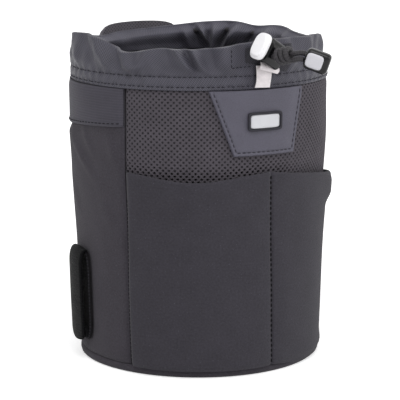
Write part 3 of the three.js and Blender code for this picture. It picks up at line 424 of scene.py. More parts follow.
class Finish(Nodes):
    """A material being written: its nodes, and at the end its surface."""

    def __init__(self, name):
        self.material = bpy.data.materials.new(name)
        self.material.use_nodes = True
        super().__init__(self.material.node_tree)
        self.tree.nodes.clear()

    def place(self):
        """Object coordinates, in metres."""
        return self.node("TexCoord", {}, out="Object")

    def uv(self):
        """The two UV coordinates, in millimetres."""
        coordinates = self.node("TexCoord", {}, out="UV")
        return [self.node("SeparateXYZ", {}, coordinates, out=axis) for axis in (0, 1)]

    def vector(self, x, y):
        """A vector from two values."""
        return self.node("CombineXYZ", {}, x, y, 0.0)

    def noise(self, vector, scale, detail):
        """Soft noise about 0.5."""
        return self.node("TexNoise", {}, Vector=vector, Scale=scale, Detail=detail)

    def cloud(self, u, v, scale):
        """Soft noise over a cloth's UV."""
        return self.noise(self.vector(u, v), scale, 3.0)

    def mix(self, factor, first, second):
        """A colour between two, by factor."""
        unused = [None] * 5
        return self.node("Mix", {"data_type": "RGBA"}, factor, *unused, first, second, out=2)

    def tone(self, factor, colour, dark, pale):
        """A colour between its dark and its pale share, by factor."""
        return self.mix(factor, shade(colour, dark), shade(colour, pale))

    def bump(self, height, distance):
        """A normal from a height from 0 to 1 that stands for distance millimetres."""
        return self.node("Bump", {}, Strength=1.0, Distance=distance * MM, Height=height)

    def close(self, shader):
        """Puts a shader on the surface and returns the material."""
        output = self.tree.nodes.new("ShaderNodeOutputMaterial")
        self.tree.links.new(shader.socket, output.inputs["Surface"])
        return self.material

    def surface(self, colour, roughness, normal=None, **constants):
        """Closes the material with a plain surface. constants are the shader's own sockets."""
        named = {"Base_Color": colour, "Roughness": roughness, "Normal": normal, **constants}
        return self.close(self.node("BsdfPrincipled", {}, **named))

    def woven(self, colour, roughness, height, depth, gloss=CLOTH_GLOSS, sheen=0.08, soft=0.5):
        """Closes the material as a cloth with a relief of so much depth, and a sheen that is soft."""
        return self.surface(
            colour, roughness, self.bump(height, depth),
            Specular_IOR_Level=gloss, Sheen_Weight=sheen, Sheen_Roughness=soft,
        )


# Finishes


def knit_finish(name, colour, rib=0.75, depth=0.12, lint=0.3):
    """Matte knit: V-shaped stitches in columns a rib apart, a soft heather and pale lint."""
    f = Finish(name)
    u, v = f.uv()
    aside = (u / rib).fold()
    loops = ((v / rib * 1.3 + aside * 1.2) * TAU).wave()
    knit = loops * (1 - aside * 1.6)
    cloud, heather = f.cloud(u, v, 0.09), f.cloud(u, v, 1.0)
    fleck = f.noise(f.vector(u, v + 300.0), 1.15, 1.0).step(0.68, 0.77) * lint
    tone = f.tone(cloud * 0.25 + heather * 0.6 + knit * 0.15, colour, 0.6, 1.4)
    tone = f.mix(fleck, tone, shade(colour, 1.9))
    return f.woven(tone, 0.92 - knit * 0.06, knit * 0.7 + heather * 0.3, depth, soft=0.6)


TWILL_PITCH, NET_PITCH = 1.05, 1.6


def twill_finish(name, colour, inner_from=1000.0, gloss=0.15):
    """Twill: diagonal ridges, each a row of short floats, with a slight gloss. Past inner_from along its
    run a band of it is painted paler, painted light where the lamps reach in under the rim; further in
    that painted light fades and it shows a dull net with small holes."""
    f = Finish(name)
    u, v = f.uv()
    ridge = ((u + v) * (TAU / TWILL_PITCH)).wave()
    floats = ((u - v * 0.6) * (TAU / (TWILL_PITCH * 1.4))).wave()
    weave = ridge * 0.75 + floats * 0.25
    cloud = f.cloud(u, v, 0.11)
    share = weave * 0.65 + cloud * 0.35
    deep = v.step(inner_from + 4, inner_from + 9)
    # satin is painted light: a paler copy of the twill's tone in a band under the rim, faded out deeper
    # in
    satin = v.step(inner_from, inner_from + 2) * (1 - deep * 0.6)
    tone = f.mix(satin, f.tone(share, colour, 0.5, 1.5), f.tone(share, colour, 0.6, 1.7))
    net = (u * (TAU / NET_PITCH)).sine() * (v * (TAU / NET_PITCH)).sine()
    tone = f.mix(net.step(0.05, 0.5) * deep * 0.75, tone, shade(colour, 0.3))
    return f.woven(tone, 0.5 - ridge * 0.16 + cloud * 0.1, weave, 0.16, gloss, soft=0.45)


RIPSTOP_SQUARE = 5.0


def weave_finish(name, colour, pitch, depth, grid=0.0, rough=0.6, gloss=CLOTH_GLOSS):
    """Plain weave: threads over and under each other, with thicker ripstop threads round squares."""
    f = Finish(name)
    u, v = f.uv()
    over = (u * (TAU / pitch)).sine() * (v * (TAU / pitch)).sine() * 0.5 + 0.5
    ribs = (v * (TAU / (pitch * 1.6))).wave() ** 2.0
    lines = (u / RIPSTOP_SQUARE).fold().most((v / RIPSTOP_SQUARE).fold()).step(0.43, 0.49)
    height = over * 0.6 + ribs * 0.4 + lines * grid
    cloud = f.cloud(u, v, 0.13)
    tone = f.tone(height * 0.6 + cloud * 0.4, colour, 0.8, 1.18)
    return f.woven(tone, rough + cloud * 0.15, height, depth, gloss, sheen=gloss / 2)


MESH_PITCH = (2.85, 2.75)  # between holes across and up, with one more in the middle of each four
PAD_PITCH = (2.0, 1.9)
MESH_HOLE = srgb(48, 46, 50)


def mesh_finish(name, rib, pitch):
    """Spacer mesh: dark holes on a staggered lattice, cos(u) * cos(v), and fine yarn on its ribs."""
    f = Finish(name)
    u, v = f.uv()
    lattice = (u * (TAU / pitch[0]) + np.pi / 2).sine() * (v * (TAU / pitch[1]) + np.pi / 2).sine()
    yarn = ((u + v * 0.3) * (TAU / 0.42)).wave()
    tone = f.tone(f.cloud(u, v, 0.12) * 0.6 + yarn * 0.4, rib, 0.82, 1.15)
    tone = f.mix(lattice.step(0.0, 0.9), tone, MESH_HOLE)
    return f.woven(tone, 0.85, yarn, 0.05, sheen=0.06)


def leather_finish(name, colour):
    """Grained synthetic leather: cells of a pebbled grain, a soft cloud and a satin gloss."""
    f = Finish(name)
    flat = f.vector(*f.uv())
    grain = f.node("TexVoronoi", {"feature": "DISTANCE_TO_EDGE"}, Vector=flat, Scale=1.9)
    pebble = grain.step(0.0, 0.22)
    fine = f.noise(flat, 3.2, 3.0)
    cloud = f.noise(flat, 0.12, 2.0)
    tone = f.tone(pebble * 0.35 + cloud * 0.45 + fine * 0.2, colour, 0.84, 1.1)
    relief = f.bump(pebble * 0.7 + fine * 0.3, 0.06)
    return f.surface(tone, 0.5 + fine * 0.14, relief, Specular_IOR_Level=0.35)


def braid_finish(name, colour):
    """Braided cord: two sets of yarns crossing at a slant, from the UV round and along the cord."""
    f = Finish(name)
    round_it, along = f.uv()
    one = ((round_it * 4.0 + along / 2.2) * TAU).sine()
    two = ((round_it * 4.0 - along / 2.2) * TAU).sine()
    yarn = one * two * 0.5 + 0.5
    hair = f.noise(f.vector(round_it * 8.0, along), 3.0, 2.0)
    tone = f.tone(yarn * 0.7 + hair * 0.3, colour, 0.5, 1.6)
    return f.woven(tone, 0.5, yarn, 0.25, gloss=0.3, sheen=0.06)


def plastic_finish(name, colour, roughness, grain=0.02, coat=0.0, gloss=0.5):
    """Moulded plastic: a faint moulding grain and small handling marks in the gloss."""
    f = Finish(name)
    grainy = f.noise(f.place(), 2600.0, 2.0)
    rubbed = f.noise(f.place(), 240.0, 3.0)
    tone = f.tone(rubbed * 0.6 + grainy * 0.4, colour, 0.95, 1.04)
    rough = roughness + rubbed * 0.1 - 0.05
    return f.surface(tone, rough, f.bump(grainy, grain), Coat_Weight=coat, Specular_IOR_Level=gloss)


def thread_finish(name, colour):
    """Dull spun thread."""
    return plastic_finish(name, colour, 0.8, grain=0.05, gloss=CLOTH_GLOSS)


def steel_finish(name, colour):
    """Drawn wire: fine streaks on bare steel."""
    f = Finish(name)
    streak = f.noise(f.place(), 1800.0, 2.0)
    return f.surface(f.tone(streak, colour, 0.85, 1.0), 0.28 + streak * 0.12, Metallic=1.0)


def fuzz_finish(name, colour, scale, depth):
    """Hook and loop tape or foam: a tangle of small curls or cells."""
    f = Finish(name)
    tangle = f.node("TexVoronoi", {}, Vector=f.place(), Scale=scale)
    cloud = f.noise(f.place(), scale / 6, 2.0)
    tone = f.tone(tangle * 0.7 + cloud * 0.3, colour, 0.55, 1.5)
    return f.surface(tone, 0.95, f.bump(tangle, depth), Specular_IOR_Level=CLOTH_GLOSS)


def label_finish(name, colour):
    """Woven label: fine satin threads, faint creases and a little greying."""
    f = Finish(name)
    u, v = f.uv()
    thread = (u * (TAU / 0.36)).wave()
    crease = f.noise(f.vector(u * 0.6, v), 0.55, 2.0)
    tone = f.tone(crease * 0.7 + thread * 0.3, colour, 0.86, 1.06)
    return f.surface(tone, 0.7, f.bump(crease * 0.8 + thread * 0.2, 0.25), Sheen_Weight=0.1)


side_knit = knit_finish("side_knit", (55, 52, 58))
pocket_neoprene = knit_finish("pocket_neoprene", (51, 49, 55), rib=0.55, depth=0.07, lint=0.35)
front_mesh = mesh_finish("front_mesh", (77, 73, 79), MESH_PITCH)
pad_mesh = mesh_finish("pad_mesh", (92, 89, 95), PAD_PITCH)
# Inside the collar, past inner_from, its twill carries a painted light band under the rim
collar_twill = twill_finish("collar_twill", (60, 59, 67), inner_from=22.5, gloss=0.25)
facing_twill = twill_finish("facing_twill", (42, 41, 46))
side_ripstop = weave_finish("side_ripstop", (67, 65, 73), 0.8, 0.12, grid=0.12)
lining_weave = weave_finish("lining_weave", (44, 43, 49), 0.9, 0.08)
loop_weave = weave_finish("loop_weave", (22, 21, 23), 1.3, 0.3, rough=0.75, gloss=0.05)
tongue_satin = weave_finish("tongue_satin", (11, 11, 13), 0.9, 0.5, rough=0.45, gloss=0.04)
badge_leather = leather_finish("badge_leather", (82, 80, 92))
cord_braid = braid_finish("cord_braid", (38, 36, 39))
black_gloss = plastic_finish("black_gloss", (14, 14, 16), 0.2, coat=0.05, gloss=0.25)
white_satin = plastic_finish("white_satin", (240, 239, 242), 0.35)
grey_satin = plastic_finish("grey_satin", (198, 197, 203), 0.4)
rubber_frame = plastic_finish("rubber_frame", (42, 41, 48), 0.6, grain=0.04, gloss=0.2)
pale_plate = plastic_finish("pale_plate", (200, 200, 205), 0.32)
spring_steel = steel_finish("spring_steel", (170, 170, 172))
hook_tape = fuzz_finish("hook_tape", (22, 22, 24), 1500.0, 0.4)
foam_cells = fuzz_finish("foam_cells", (44, 44, 48), 900.0, 0.2)
label_cloth = label_finish("label_cloth", (240, 233, 235))
dark_thread = thread_finish("dark_thread", (20, 19, 22))
collar_thread = thread_finish("collar_thread", (33, 32, 37))
grey_thread = thread_finish("grey_thread", (54, 53, 59))


# The pouch's own surfaces


def half_axes(height):
    """The wall's half axes at a height. They go evenly from the base's to the seam's."""
    rise = np.clip(np.asarray(height, float) / SEAM_HEIGHT, 0, 1)
    return [base + (seam - base) * rise for base, seam in zip(BASE_AXES, SEAM_AXES)]


def wall(angle, height, out=0.0):
    """Points on the wall, its half axes grown by out: x is the half width times sin(angle), and y the
    front or back depth times -cos(angle)."""
    out = out - press(angle, height)
    half_width, front, back = (half + out for half in half_axes(height))
    depth = np.where(np.cos(angle) >= 0, front, back)
    return np.stack(np.broadcast_arrays(half_width * np.sin(angle), -depth * np.cos(angle), height), -1)


def press(angle, height):
    """How far the soft walls are pressed in, at the right of the front and mostly low down: a bell curve
    that is wider on its front side, less deep at the stiff base."""
    off = wrapped(angle - PRESS_ANGLE)
    at_height = (1 - smoothstep(height, 30, 120)) * (0.3 + 0.7 * smoothstep(height, 0, 14))
    return PRESS * bell(off, 0, np.where(off < 0, PRESS_FRONT_WIDTH, PRESS_BACK_WIDTH)) * at_height


def outward(angle):
    """The level direction straight out of the wall at an angle."""
    angle = np.asarray(angle, float)
    return np.stack([np.sin(angle), -np.cos(angle), 0 * angle], -1)


def tuck(height):
    """How far the wall rounds in above the base: a quarter ellipse."""
    share = np.clip(1 - (height - WALL_FOOT) / TUCK_HEIGHT, 0, 1)
    return TUCK * (1 - np.sqrt(1 - share**2))


# Long waves of the walls: rise, how fast each turns by angle and by height, and where it starts
SLACK_WAVES = ((0.35, 3.1, 0.045, 0.4), (0.25, 5.3, -0.071, 2.0), (0.15, 9.7, 0.12, 0.0))


def slack(angle, height):
    """The wall's gentle unevenness: a sum of long sine waves."""
    waves = (rise * np.sin(by * angle + up * height + start) for rise, by, up, start in SLACK_WAVES)
    return sum(waves)


LEFT_BULGE, RIGHT_BULGE = 1.8, 0.9
# Soft ridges in the left side's slack cloth: angle in degrees and height of both ends, width and rise
DRAPES = (
    (-110, 119, -82, 94, 2.8, 1.3), (-94, 121, -84, 107, 2.2, 0.8), (-74, 119, -70, 104, 2.4, 0.8),
    (-114, 92, -98, 74, 4.0, 0.8), (-80, 88, -72, 70, 4.0, 0.6),
)


def drapes(angle, height):
    """How far the cloth stands out: two wide bulges, and a bell curve across each ridge's line that fades
    towards the line's ends."""
    left = LEFT_BULGE * round_bell(angle, -116, 22) * smoothstep(height, 50, 96)
    left = left * (1 - smoothstep(height, 114.5, 119.5))
    ridges = left + RIGHT_BULGE * bell(angle, turn(58), turn(14)) * bell(height, 116, 16)
    for start_angle, start_height, end_angle, end_height, width, rise in DRAPES:
        run, climb = turn(end_angle - start_angle) * MEAN_RADIUS, end_height - start_height
        across, up = (angle - turn(start_angle)) * MEAN_RADIUS, height - start_height
        length = np.hypot(run, climb)
        share = (across * run + up * climb) / length**2
        aside = (across * climb - up * run) / length
        ridges = ridges + rise * bell(aside, 0, width) * bell(share, 0.5, 0.42)
    return ridges


def seam_dip(arc):
    """The groove at a sewn edge, by distance from it."""
    return SEAM_DIP * bell(arc, 0, SEAM_DIP_WIDTH)


# Where the rim slumps or stands up: angle in degrees, height in millimetres and width in degrees
RIM_WAVES = (
    (-158, -6.2, 48), (-154, -1.0, 10), (-87, 2.9, 76), (-66, -6.6, 13.6), (-37, -5.0, 24.5),
    (81.5, -4.9, 28), (120, -2.1, 8.6),
)
# Creases down from the rim: its angle there, its lean in degrees a millimetre down, width and depth
CREASES = (
    (-72, 0.4, 2.4, -2.0), (-65, 0.3, 2.8, 2.2), (-82, 0.7, 3.4, 1.8), (-90, 0.5, 3.0, -1.6),
    (-54, -0.4, 3.4, 2.2), (-48, 0.4, 2.6, -2.0), (-41.5, 0.5, 2.0, 3.6), (-38, 0.42, 1.4, -2.2),
    (-34.5, 0.38, 1.7, 3.6), (-29, 0.3, 2.4, -2.4), (-22, 0.15, 3.0, 2.4), (-14, 0.1, 3.0, -1.4),
    (10, 0.2, 3.5, 1.2), (24, -0.3, 3.5, 2.0), (33, -0.2, 3.0, -1.4), (44, 0.2, 3.4, 1.0),
    (62, 0.2, 4.0, -0.8), (-98, 0.1, 4.0, 1.4), (-122, 0.2, 5.0, -1.0), (95, 0.3, 4.0, -1.4),
    (150, 0.2, 4.0, 1.0),
)
# Folds on the inner face: angle and width in degrees, how far in, and slant in degrees a millimetre down
INNER_FOLDS = (
    (159.5, 2.6, 3.4, 0.3), (154.2, 2.0, -4.8, 0.5), (150.8, 1.6, 7.0, 0.5), (146.0, 1.8, -4.0, 0.1),
    (141.5, 2.2, 7.0, -0.1), (134.5, 2.0, -4.6, -0.3), (128.5, 2.8, 7.6, -0.6), (120, 2.2, -4.0, -0.4),
    (112, 3.0, 6.0, 0.4), (97, 4.0, 3.2, 0.2), (76, 5.0, 2.4, 0.0), (170, 5.0, 1.0, 0.0),
    (-165, 5.0, 1.5, 0.0), (-148, 5.0, 2.0, 0.0),
)


def rim_wave(angle):
    """How far the rim stands up: a sum of bell curves round the collar."""
    return sum(height * round_bell(angle, middle, width) for middle, height, width in RIM_WAVES)


def collar(angle, height, out):
    """Points on the collar. It leans in as it rises, and above its band the drawcord's gathers grow and
    the rim sinks or stands up. height is that of the plain collar."""
    rise = (height - SEAM_HEIGHT) / (RIM_HEIGHT - SEAM_HEIGHT)
    above = np.clip((height - BAND_TOP) / (RIM_HEIGHT - BAND_TOP), 0, None)
    from_slot = angle - SLOT_ANGLE
    gather = -GATHER_DEPTH * (0.6 * np.sin(5 * from_slot) + 0.4 * np.sin(9 * from_slot))
    pinch = COLLAR_PINCH * round_bell(angle, 62, 28) * smoothstep(above, 0, 0.35)
    moved = out - COLLAR_LEAN * rise - pinch + gather * above**2
    points = wall(angle, np.full_like(height + angle, SEAM_HEIGHT), moved)
    points[..., 2] = height + rim_wave(angle) * above
    return points


# Camera, light and floor

scene = bpy.context.scene
scene.view_settings.view_transform = "Standard"

camera_data = bpy.data.cameras.new("camera")
camera_data.sensor_width = 36
camera_data.lens = 157.9
camera_data.shift_x, camera_data.shift_y = 0.0039, -0.0070
camera_data.clip_start, camera_data.clip_end = 0.05, 20
camera = bpy.data.objects.new("camera", camera_data)
camera.location = (-0.4769, -0.7486, 0.2520)
camera.rotation_euler = (turn(78.925), 0, turn(-32.5))
scene.collection.objects.link(camera)
scene.camera = camera


# Lamps: name, place in metres and power
SOFTBOXES = (
    ("left_softbox", (-1.1, -0.5, 0.6), 1.3),
    ("right_softbox", (0.7, -1.0, 0.6), 4.6),
    ("top_softbox", (-0.35, -0.6, 1.1), 5.3),
)
LAMP_AIM, LAMP_SIZE = (0, 0, 0.09), 0.7

for lamp_name, lamp_place, lamp_power in SOFTBOXES:
    lamp_data = bpy.data.lights.new(lamp_name, "AREA")
    lamp_data.size = LAMP_SIZE
    lamp_data.energy = lamp_power
    lamp = bpy.data.objects.new(lamp_name, lamp_data)
    lamp.location = lamp_place
    away = np.array(lamp_place) - np.array(LAMP_AIM)
    tilt = np.arctan2(np.hypot(away[0], away[1]), away[2])
    lamp.rotation_euler = (tilt, 0, np.arctan2(away[0], -away[1]))
    scene.collection.objects.link(lamp)

WORLD_LIGHT = 0.62  # on the pouch, where the rays that see the studio get 1
world = bpy.data.worlds.new("studio")
scene.world = world
world.use_nodes = True
sky = Nodes(world.node_tree)
sky_strength = WORLD_LIGHT + sky.seen() * (1 - WORLD_LIGHT)
backdrop = sky.tree.nodes["Background"]
backdrop.inputs["Color"].default_value = (1, 1, 1, 1)
sky.tree.links.new(sky_strength.socket, backdrop.inputs["Strength"])


def floor_finish():
    """Pale paper. The camera sees it a little brighter than it is lit, so that it meets the backdrop and
    keeps the shadow."""
    f = Finish("floor_paper")
    away = f.node("VectorMath", {"operation": "LENGTH"}, f.place(), out="Value")
    lift = 0.5 + away.step(0.1, 0.8) * 0.3
    paper = f.node("BsdfDiffuse", {}, Color=(0.9, 0.9, 0.9, 1))
    glow = f.node("Emission", {}, Color=(1, 1, 1, 1), Strength=f.seen() * lift)
    return f.close(f.node("AddShader", {}, paper, glow))


FLOOR_REACH, FLOOR_STEPS = 4000.0, 9
sweep = np.linspace(-FLOOR_REACH, FLOOR_REACH, FLOOR_STEPS)
floor_points = np.stack(np.meshgrid(sweep, sweep, 0.0), -1).reshape(-1, 3)
floor_faces = [skin(numbered(FLOOR_STEPS, FLOOR_STEPS))]
floor = make_piece("floor", floor_points, floor_faces, floor_finish(), body=None)


# Cords, in the frame of the lock and the tail


def joint_axis(name):
    """A joint's direction, from the frame."""
    return unit(np.array(next(j for j in frame["joints"] if j["name"] == name)["axis"]))


lock_up, hole_axis = -joint_axis("button_press"), joint_axis("cord_pull")
pair_axis = np.cross(-hole_axis, lock_up)
lock_axes = np.stack([pair_axis, -hole_axis, lock_up])

KNOT_TURNS = 2.5
KNOT_GAP = 0.45
KNOT_LEAD = 2.0
KNOT_EASE = 3.0
TAIL_HEADING, TAIL_RISE, TAIL_ROLL = turn(16), turn(13), turn(26)
TAIL_ROUTE = np.array(
    [[0, 0, 0], [1.8, 0.05, 0.05], [3.4, 0.4, 0], [4.7, 0.95, -0.35], [5.8, 1.6, -0.9]]
)
TAIL_END_YAW, TAIL_END_DROOP = turn(34), turn(30)
CORD_END_LENGTH, CORD_END_WIDTH, CORD_END_THICKNESS = 11.8, 10.0, 6.6
CORD_END_ROLL = turn(38)  # the fitting hangs turned a little on its limp cords


def about(axis, angle):
    """The matrix of a turn about axis 0, 1 or 2."""
    first, second = (axis + 1) % 3, (axis + 2) % 3
    matrix = np.eye(3)
    matrix[first, first] = matrix[second, second] = np.cos(angle)
    matrix[second, first] = np.sin(angle)
    matrix[first, second] = -np.sin(angle)
    return matrix


def tail_bend(share):
    """How far the tail has turned at a share of its way to its end."""
    return about(2, share * TAIL_END_YAW) @ about(1, share * TAIL_END_DROOP)


tail_turn = about(2, TAIL_HEADING - np.pi / 2) @ about(1, -TAIL_RISE)
tail_place = LOCK_PLACE + hole_axis * (LOCK_HALF_DEPTH + KNOT_LEAD) - pair_axis * STRAND_ASIDE


def from_tail(points):
    """Points given in the tail's own frame."""
    return tail_place + np.asarray(points) @ tail_turn.T


def winding():
    """The knot's strand, as lengths along the cord and turns round it: its slope eases from straight to
    that of wraps a cord and a gap apart, stays there, and eases back."""
    slope_top = np.arctan2(TAU * PAIR_SPACING, 2 * CORD_RADIUS + KNOT_GAP)
    ease_steps = 6
    step = KNOT_EASE / ease_steps
    ease = slope_top * smoothstep(np.arange(ease_steps) + 0.5, 0, ease_steps)
    ease_turn = (step * np.sin(ease) / PAIR_SPACING).sum()
    wraps = int(np.ceil((TAU * KNOT_TURNS - 2 * ease_turn) / (step * np.sin(slope_top) / PAIR_SPACING)))
    slopes = np.concatenate([ease, np.full(wraps, slope_top), ease[::-1]])
    along = np.concatenate([[0], np.cumsum(step * np.cos(slopes))])
    turned = np.concatenate([[0], np.cumsum(step * np.sin(slopes) / PAIR_SPACING)])
    return along, turned


knot_along, knot_turned = winding()
knot_angle = TAIL_ROLL - knot_turned
wound = np.stack([knot_along, PAIR_SPACING * np.sin(knot_angle), PAIR_SPACING * np.cos(knot_angle)], -1)
route = TAIL_ROUTE + [knot_along[-1], 0, 0]
strand_offset = wound[-1] * [0, 1, 1]
beside = route + np.stack([tail_bend(s) @ strand_offset for s in np.linspace(0, 1, len(route))])


def strand_start(side):
    """A strand from inside the lock to its outer face, in line with the hole."""
    middle = LOCK_PLACE + side * STRAND_ASIDE * pair_axis
    away = np.array([-1.0, 0.0, 1.0]) * LOCK_HALF_DEPTH
    lead = np.array([LOCK_HALF_DEPTH + KNOT_LEAD / 2])
    return middle + np.concatenate([away, lead])[:, None] * hole_axis


core_line = spline(np.concatenate([strand_start(-1), from_tail([[0, 0, 0]]), from_tail(route)]), 5)
wrap_line = spline(np.concatenate([strand_start(1), from_tail(wound), from_tail(beside[1:])]), 3)
tail_axis = tail_turn[:, 0]
to_axis = wrap_line - (tail_place + np.outer((wrap_line - tail_place) @ tail_axis, tail_axis))

strand_lines = (("tail_core", core_line, tail_turn[:, 2]), ("tail_wrap", wrap_line, to_axis))
tail_core, tail_wrap = (
    tube(name, line, CORD_RADIUS, aside, cord_braid, body=None, slot="cord_braid", node=f"cord_{name}")
    for name, line, aside in strand_lines
)
for strand in (tail_core, tail_wrap):
    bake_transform(strand)

# The drawcord: from the lock by the upper strand, once round the channel and back by the lower one
CHANNEL_MIDDLE = -2.2
CORD_TURN_RADIUS = 3.2


def strand_in(side):
    """A strand from the lock's face to its turn into the channel."""
    middle = LOCK_PLACE + side * STRAND_ASIDE * pair_axis
    reach = np.array([0.4, 0.8, 1.6]) * CORD_TURN_RADIUS / MEAN_RADIUS
    out = CHANNEL_MIDDLE + np.array([1.4, 0.4, 0.0])
    bend = collar(SLOT_ANGLE - side * reach, np.full(3, middle[2]), out)
    return np.concatenate([[middle, middle - hole_axis * (LOCK_HALF_DEPTH + LAYER_GAP)], bend])


upper, lower = strand_in(1), strand_in(-1)[::-1]
round_share = np.linspace(0, 1, 60)[1:-1]
turn_reach = 2 * CORD_TURN_RADIUS / MEAN_RADIUS
round_start, round_end = SLOT_ANGLE - turn_reach, SLOT_ANGLE + turn_reach - TAU
round_angle = round_start + (round_end - round_start) * round_share
round_height = upper[-1, 2] + (lower[0, 2] - upper[-1, 2]) * round_share
channel_run = collar(round_angle, round_height, np.full_like(round_angle, CHANNEL_MIDDLE))
tube(
    "drawcord_braid", spline(np.concatenate([upper, channel_run, lower]), 4), CORD_RADIUS,
    np.array([0.0, 0.0, 1.0]), cord_braid, sides=10, slot="cord_braid", node="drawcord",
)

# Cord end and lock

CORD_END_EDGE, CORD_END_CORNERS = 2.0, 3.4
INLAY_HALF_LENGTH, INLAY_HALF_WIDTH, INLAY_EDGE, INLAY_CORNERS = 4.1, 3.5, 0.9, 4.5
INLAY_PROUD = 0.5

end_axes = (tail_turn @ tail_bend(1) @ about(0, CORD_END_ROLL - TAIL_ROLL)).T
end_reach = tail_bend(1)[:, 0] * (LAYER_GAP + CORD_END_LENGTH / 2)
end_place = from_tail((route[-1] + beside[-1]) / 2 + end_reach)
end_half_length, end_half_depth = CORD_END_LENGTH / 2, CORD_END_THICKNESS / 2
shell_levels = rounded_levels(
    -end_half_length, end_half_length, end_half_depth, CORD_END_WIDTH / 2, CORD_END_EDGE, 8
)
end_shell = moulding(
    "cord_end_moulding", end_axes[[1, 2, 0]], end_place, shell_levels, CORD_END_CORNERS, black_gloss,
    body="pull", slot="black_plastic", node="cord_end_shell",
)
inlay_levels = rounded_levels(
    INLAY_PROUD, end_half_depth + INLAY_PROUD, INLAY_HALF_LENGTH, INLAY_HALF_WIDTH, INLAY_EDGE
)
end_face = moulding(
    "cord_end_inlay", end_axes[[0, 2, 1]] * np.array([[1], [-1], [-1]]), end_place - end_axes[0],
    inlay_levels, INLAY_CORNERS, grey_satin, body="pull", slot="grey_plastic", node="cord_end_face",
)

round(float(arc_length(wrap_line)[-1]) * MM, 3)

LOCK_LOW, LOCK_HIGH, LOCK_HALF_WIDTH, LOCK_EDGE, LOCK_CORNERS = -7.95, 3.75, 6.2, 1.2, 4.0
CAP_CORNERS = 3.2
moulding(
    "lock_moulding", lock_axes, LOCK_PLACE,
    rounded_levels(LOCK_LOW, LOCK_HIGH, LOCK_HALF_WIDTH, LOCK_HALF_DEPTH, LOCK_EDGE),
    LOCK_CORNERS, black_gloss, slot="black_plastic", node="lock_body",
)
# The button's stem, cap and raised middle: height and half axes
CAP_LEVELS = [
    (-2.5, 3.6, 1.3), (-2.4, 3.85, 1.5), (6.0, 3.85, 1.5), (6.05, 6.0, 4.0), (6.3, 6.45, 4.45),
    (6.7, 6.6, 4.6), (7.5, 6.6, 4.6), (7.9, 6.45, 4.45), (8.12, 6.1, 4.1), (8.16, 5.8, 3.8),
    (8.8, 5.7, 3.7), (9.15, 5.5, 3.5), (9.36, 5.1, 3.1), (9.45, 4.4, 2.4),
]
moulding(
    "lock_button_cap", lock_axes, LOCK_PLACE, CAP_LEVELS, CAP_CORNERS, white_satin, body="lock_button",
    slot="white_plastic", node="lock_button", sharp=50,
)
SPRING_FOOT, SPRING_RISE, SPRING_TURNS, SPRING_RADIUS = -6.4, 3.3, 3, 1.1
SPRING_WIRE, SPRING_PRESSED = 0.25, 0.45


def lock_coil():
    """The spring under the button: a helix of wire round the lock's axis, from its foot up."""
    share = np.linspace(0, 1, 24 * SPRING_TURNS + 1)
    turned = TAU * SPRING_TURNS * share
    x, y = SPRING_RADIUS * np.cos(turned), SPRING_RADIUS * np.sin(turned)
    line = LOCK_PLACE + np.stack([x, y, SPRING_FOOT + SPRING_RISE * share], -1) @ lock_axes
    coil = tube(
        "lock_spring_coil", line, SPRING_WIRE, lock_up, spring_steel, sides=8, slot="spring_steel",
        node="lock_spring",
    )
    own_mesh(coil)


lock_coil()

# Walls

FINE_FROM = 92.0  # the mesh panel is finely modelled above this height, and hidden below it
CLOTH_STEP, MESH_STEP = 1.3, 0.36
MESH_PIT = 0.55
POCKET_TOP, POCKET_SAG, POCKET_DROP = 101.5, 3.0, 10.3
PATCH_HEIGHT, PATCH_BACK_DROP, PATCH_THICKNESS = 18.7, 5.5, 0.7


def cloth(piece, node, width, length, held="stretched", **facts):
    """Puts a sheet in a node's place. Its flat size, in millimetres, is not used."""
    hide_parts(node)
    return piece


def wall_out(angle, height, start, end):
    """How far out a panel's face is: slack, rounded in at the foot and pulled in at its two seams."""
    seams = seam_dip((angle - start) * MEAN_RADIUS) + seam_dip((end - angle) * MEAN_RADIUS)
    top = 0.5 * bell(height, WALL_TOP, 2.0)
    return slack(angle, height) + drapes(angle, height) - tuck(height) - seams - top


def front_out(angle, height):
    """How far out the front panel's face is."""
    return wall_out(angle, height, -FRONT_HALF_ANGLE, FRONT_HALF_ANGLE)


def cloth_uv(angle, height):
    """A cloth's UV: how far round the pouch and how high."""
    return np.stack(np.broadcast_arrays(angle * MEAN_RADIUS, height), -1)


def across_wall(start, end, step):
    """Angles across a panel, with half a seam's gap left at both sides."""
    gap = SEAM_ARC / MEAN_RADIUS
    return np.linspace(start + gap, end - gap, int((end - start) * MEAN_RADIUS / step))


def wall_panel(name, node, start, end):
    """A knit wall panel between two seams."""
    rows = np.linspace(WALL_FOOT, WALL_TOP, 106)
    angle, height = np.meshgrid(across_wall(start, end, CLOTH_STEP), rows)
    outer = wall(angle, height, wall_out(angle, height, start, end))
    inner = wall(angle, height, -PANEL_THICKNESS - tuck(height))
    piece = slab(name, outer, inner, cloth_uv(angle, height), side_knit, slot="stretch_knit")
    return cloth(piece, node, (end - start) * MEAN_RADIUS, WALL_TOP - WALL_FOOT)


def pocket_mouth(angle):
    """The mouth's height: it sags on the left of the centre stitch and runs down on the right of it."""
    share = angle / FRONT_HALF_ANGLE
    drop = POCKET_DROP * share * (1 - 0.03 * smoothstep(share, 0.65, 0.95))
    return POCKET_TOP - np.where(share < 0, POCKET_SAG * np.sin(np.pi * share) ** 2, drop)


def mesh_lattice(across, up):
    """Above 0 at the mesh's holes: cos(u) * cos(v) has its tops on a centred lattice."""
    return np.cos(across * TAU / MESH_PITCH[0]) * np.cos(up * TAU / MESH_PITCH[1])


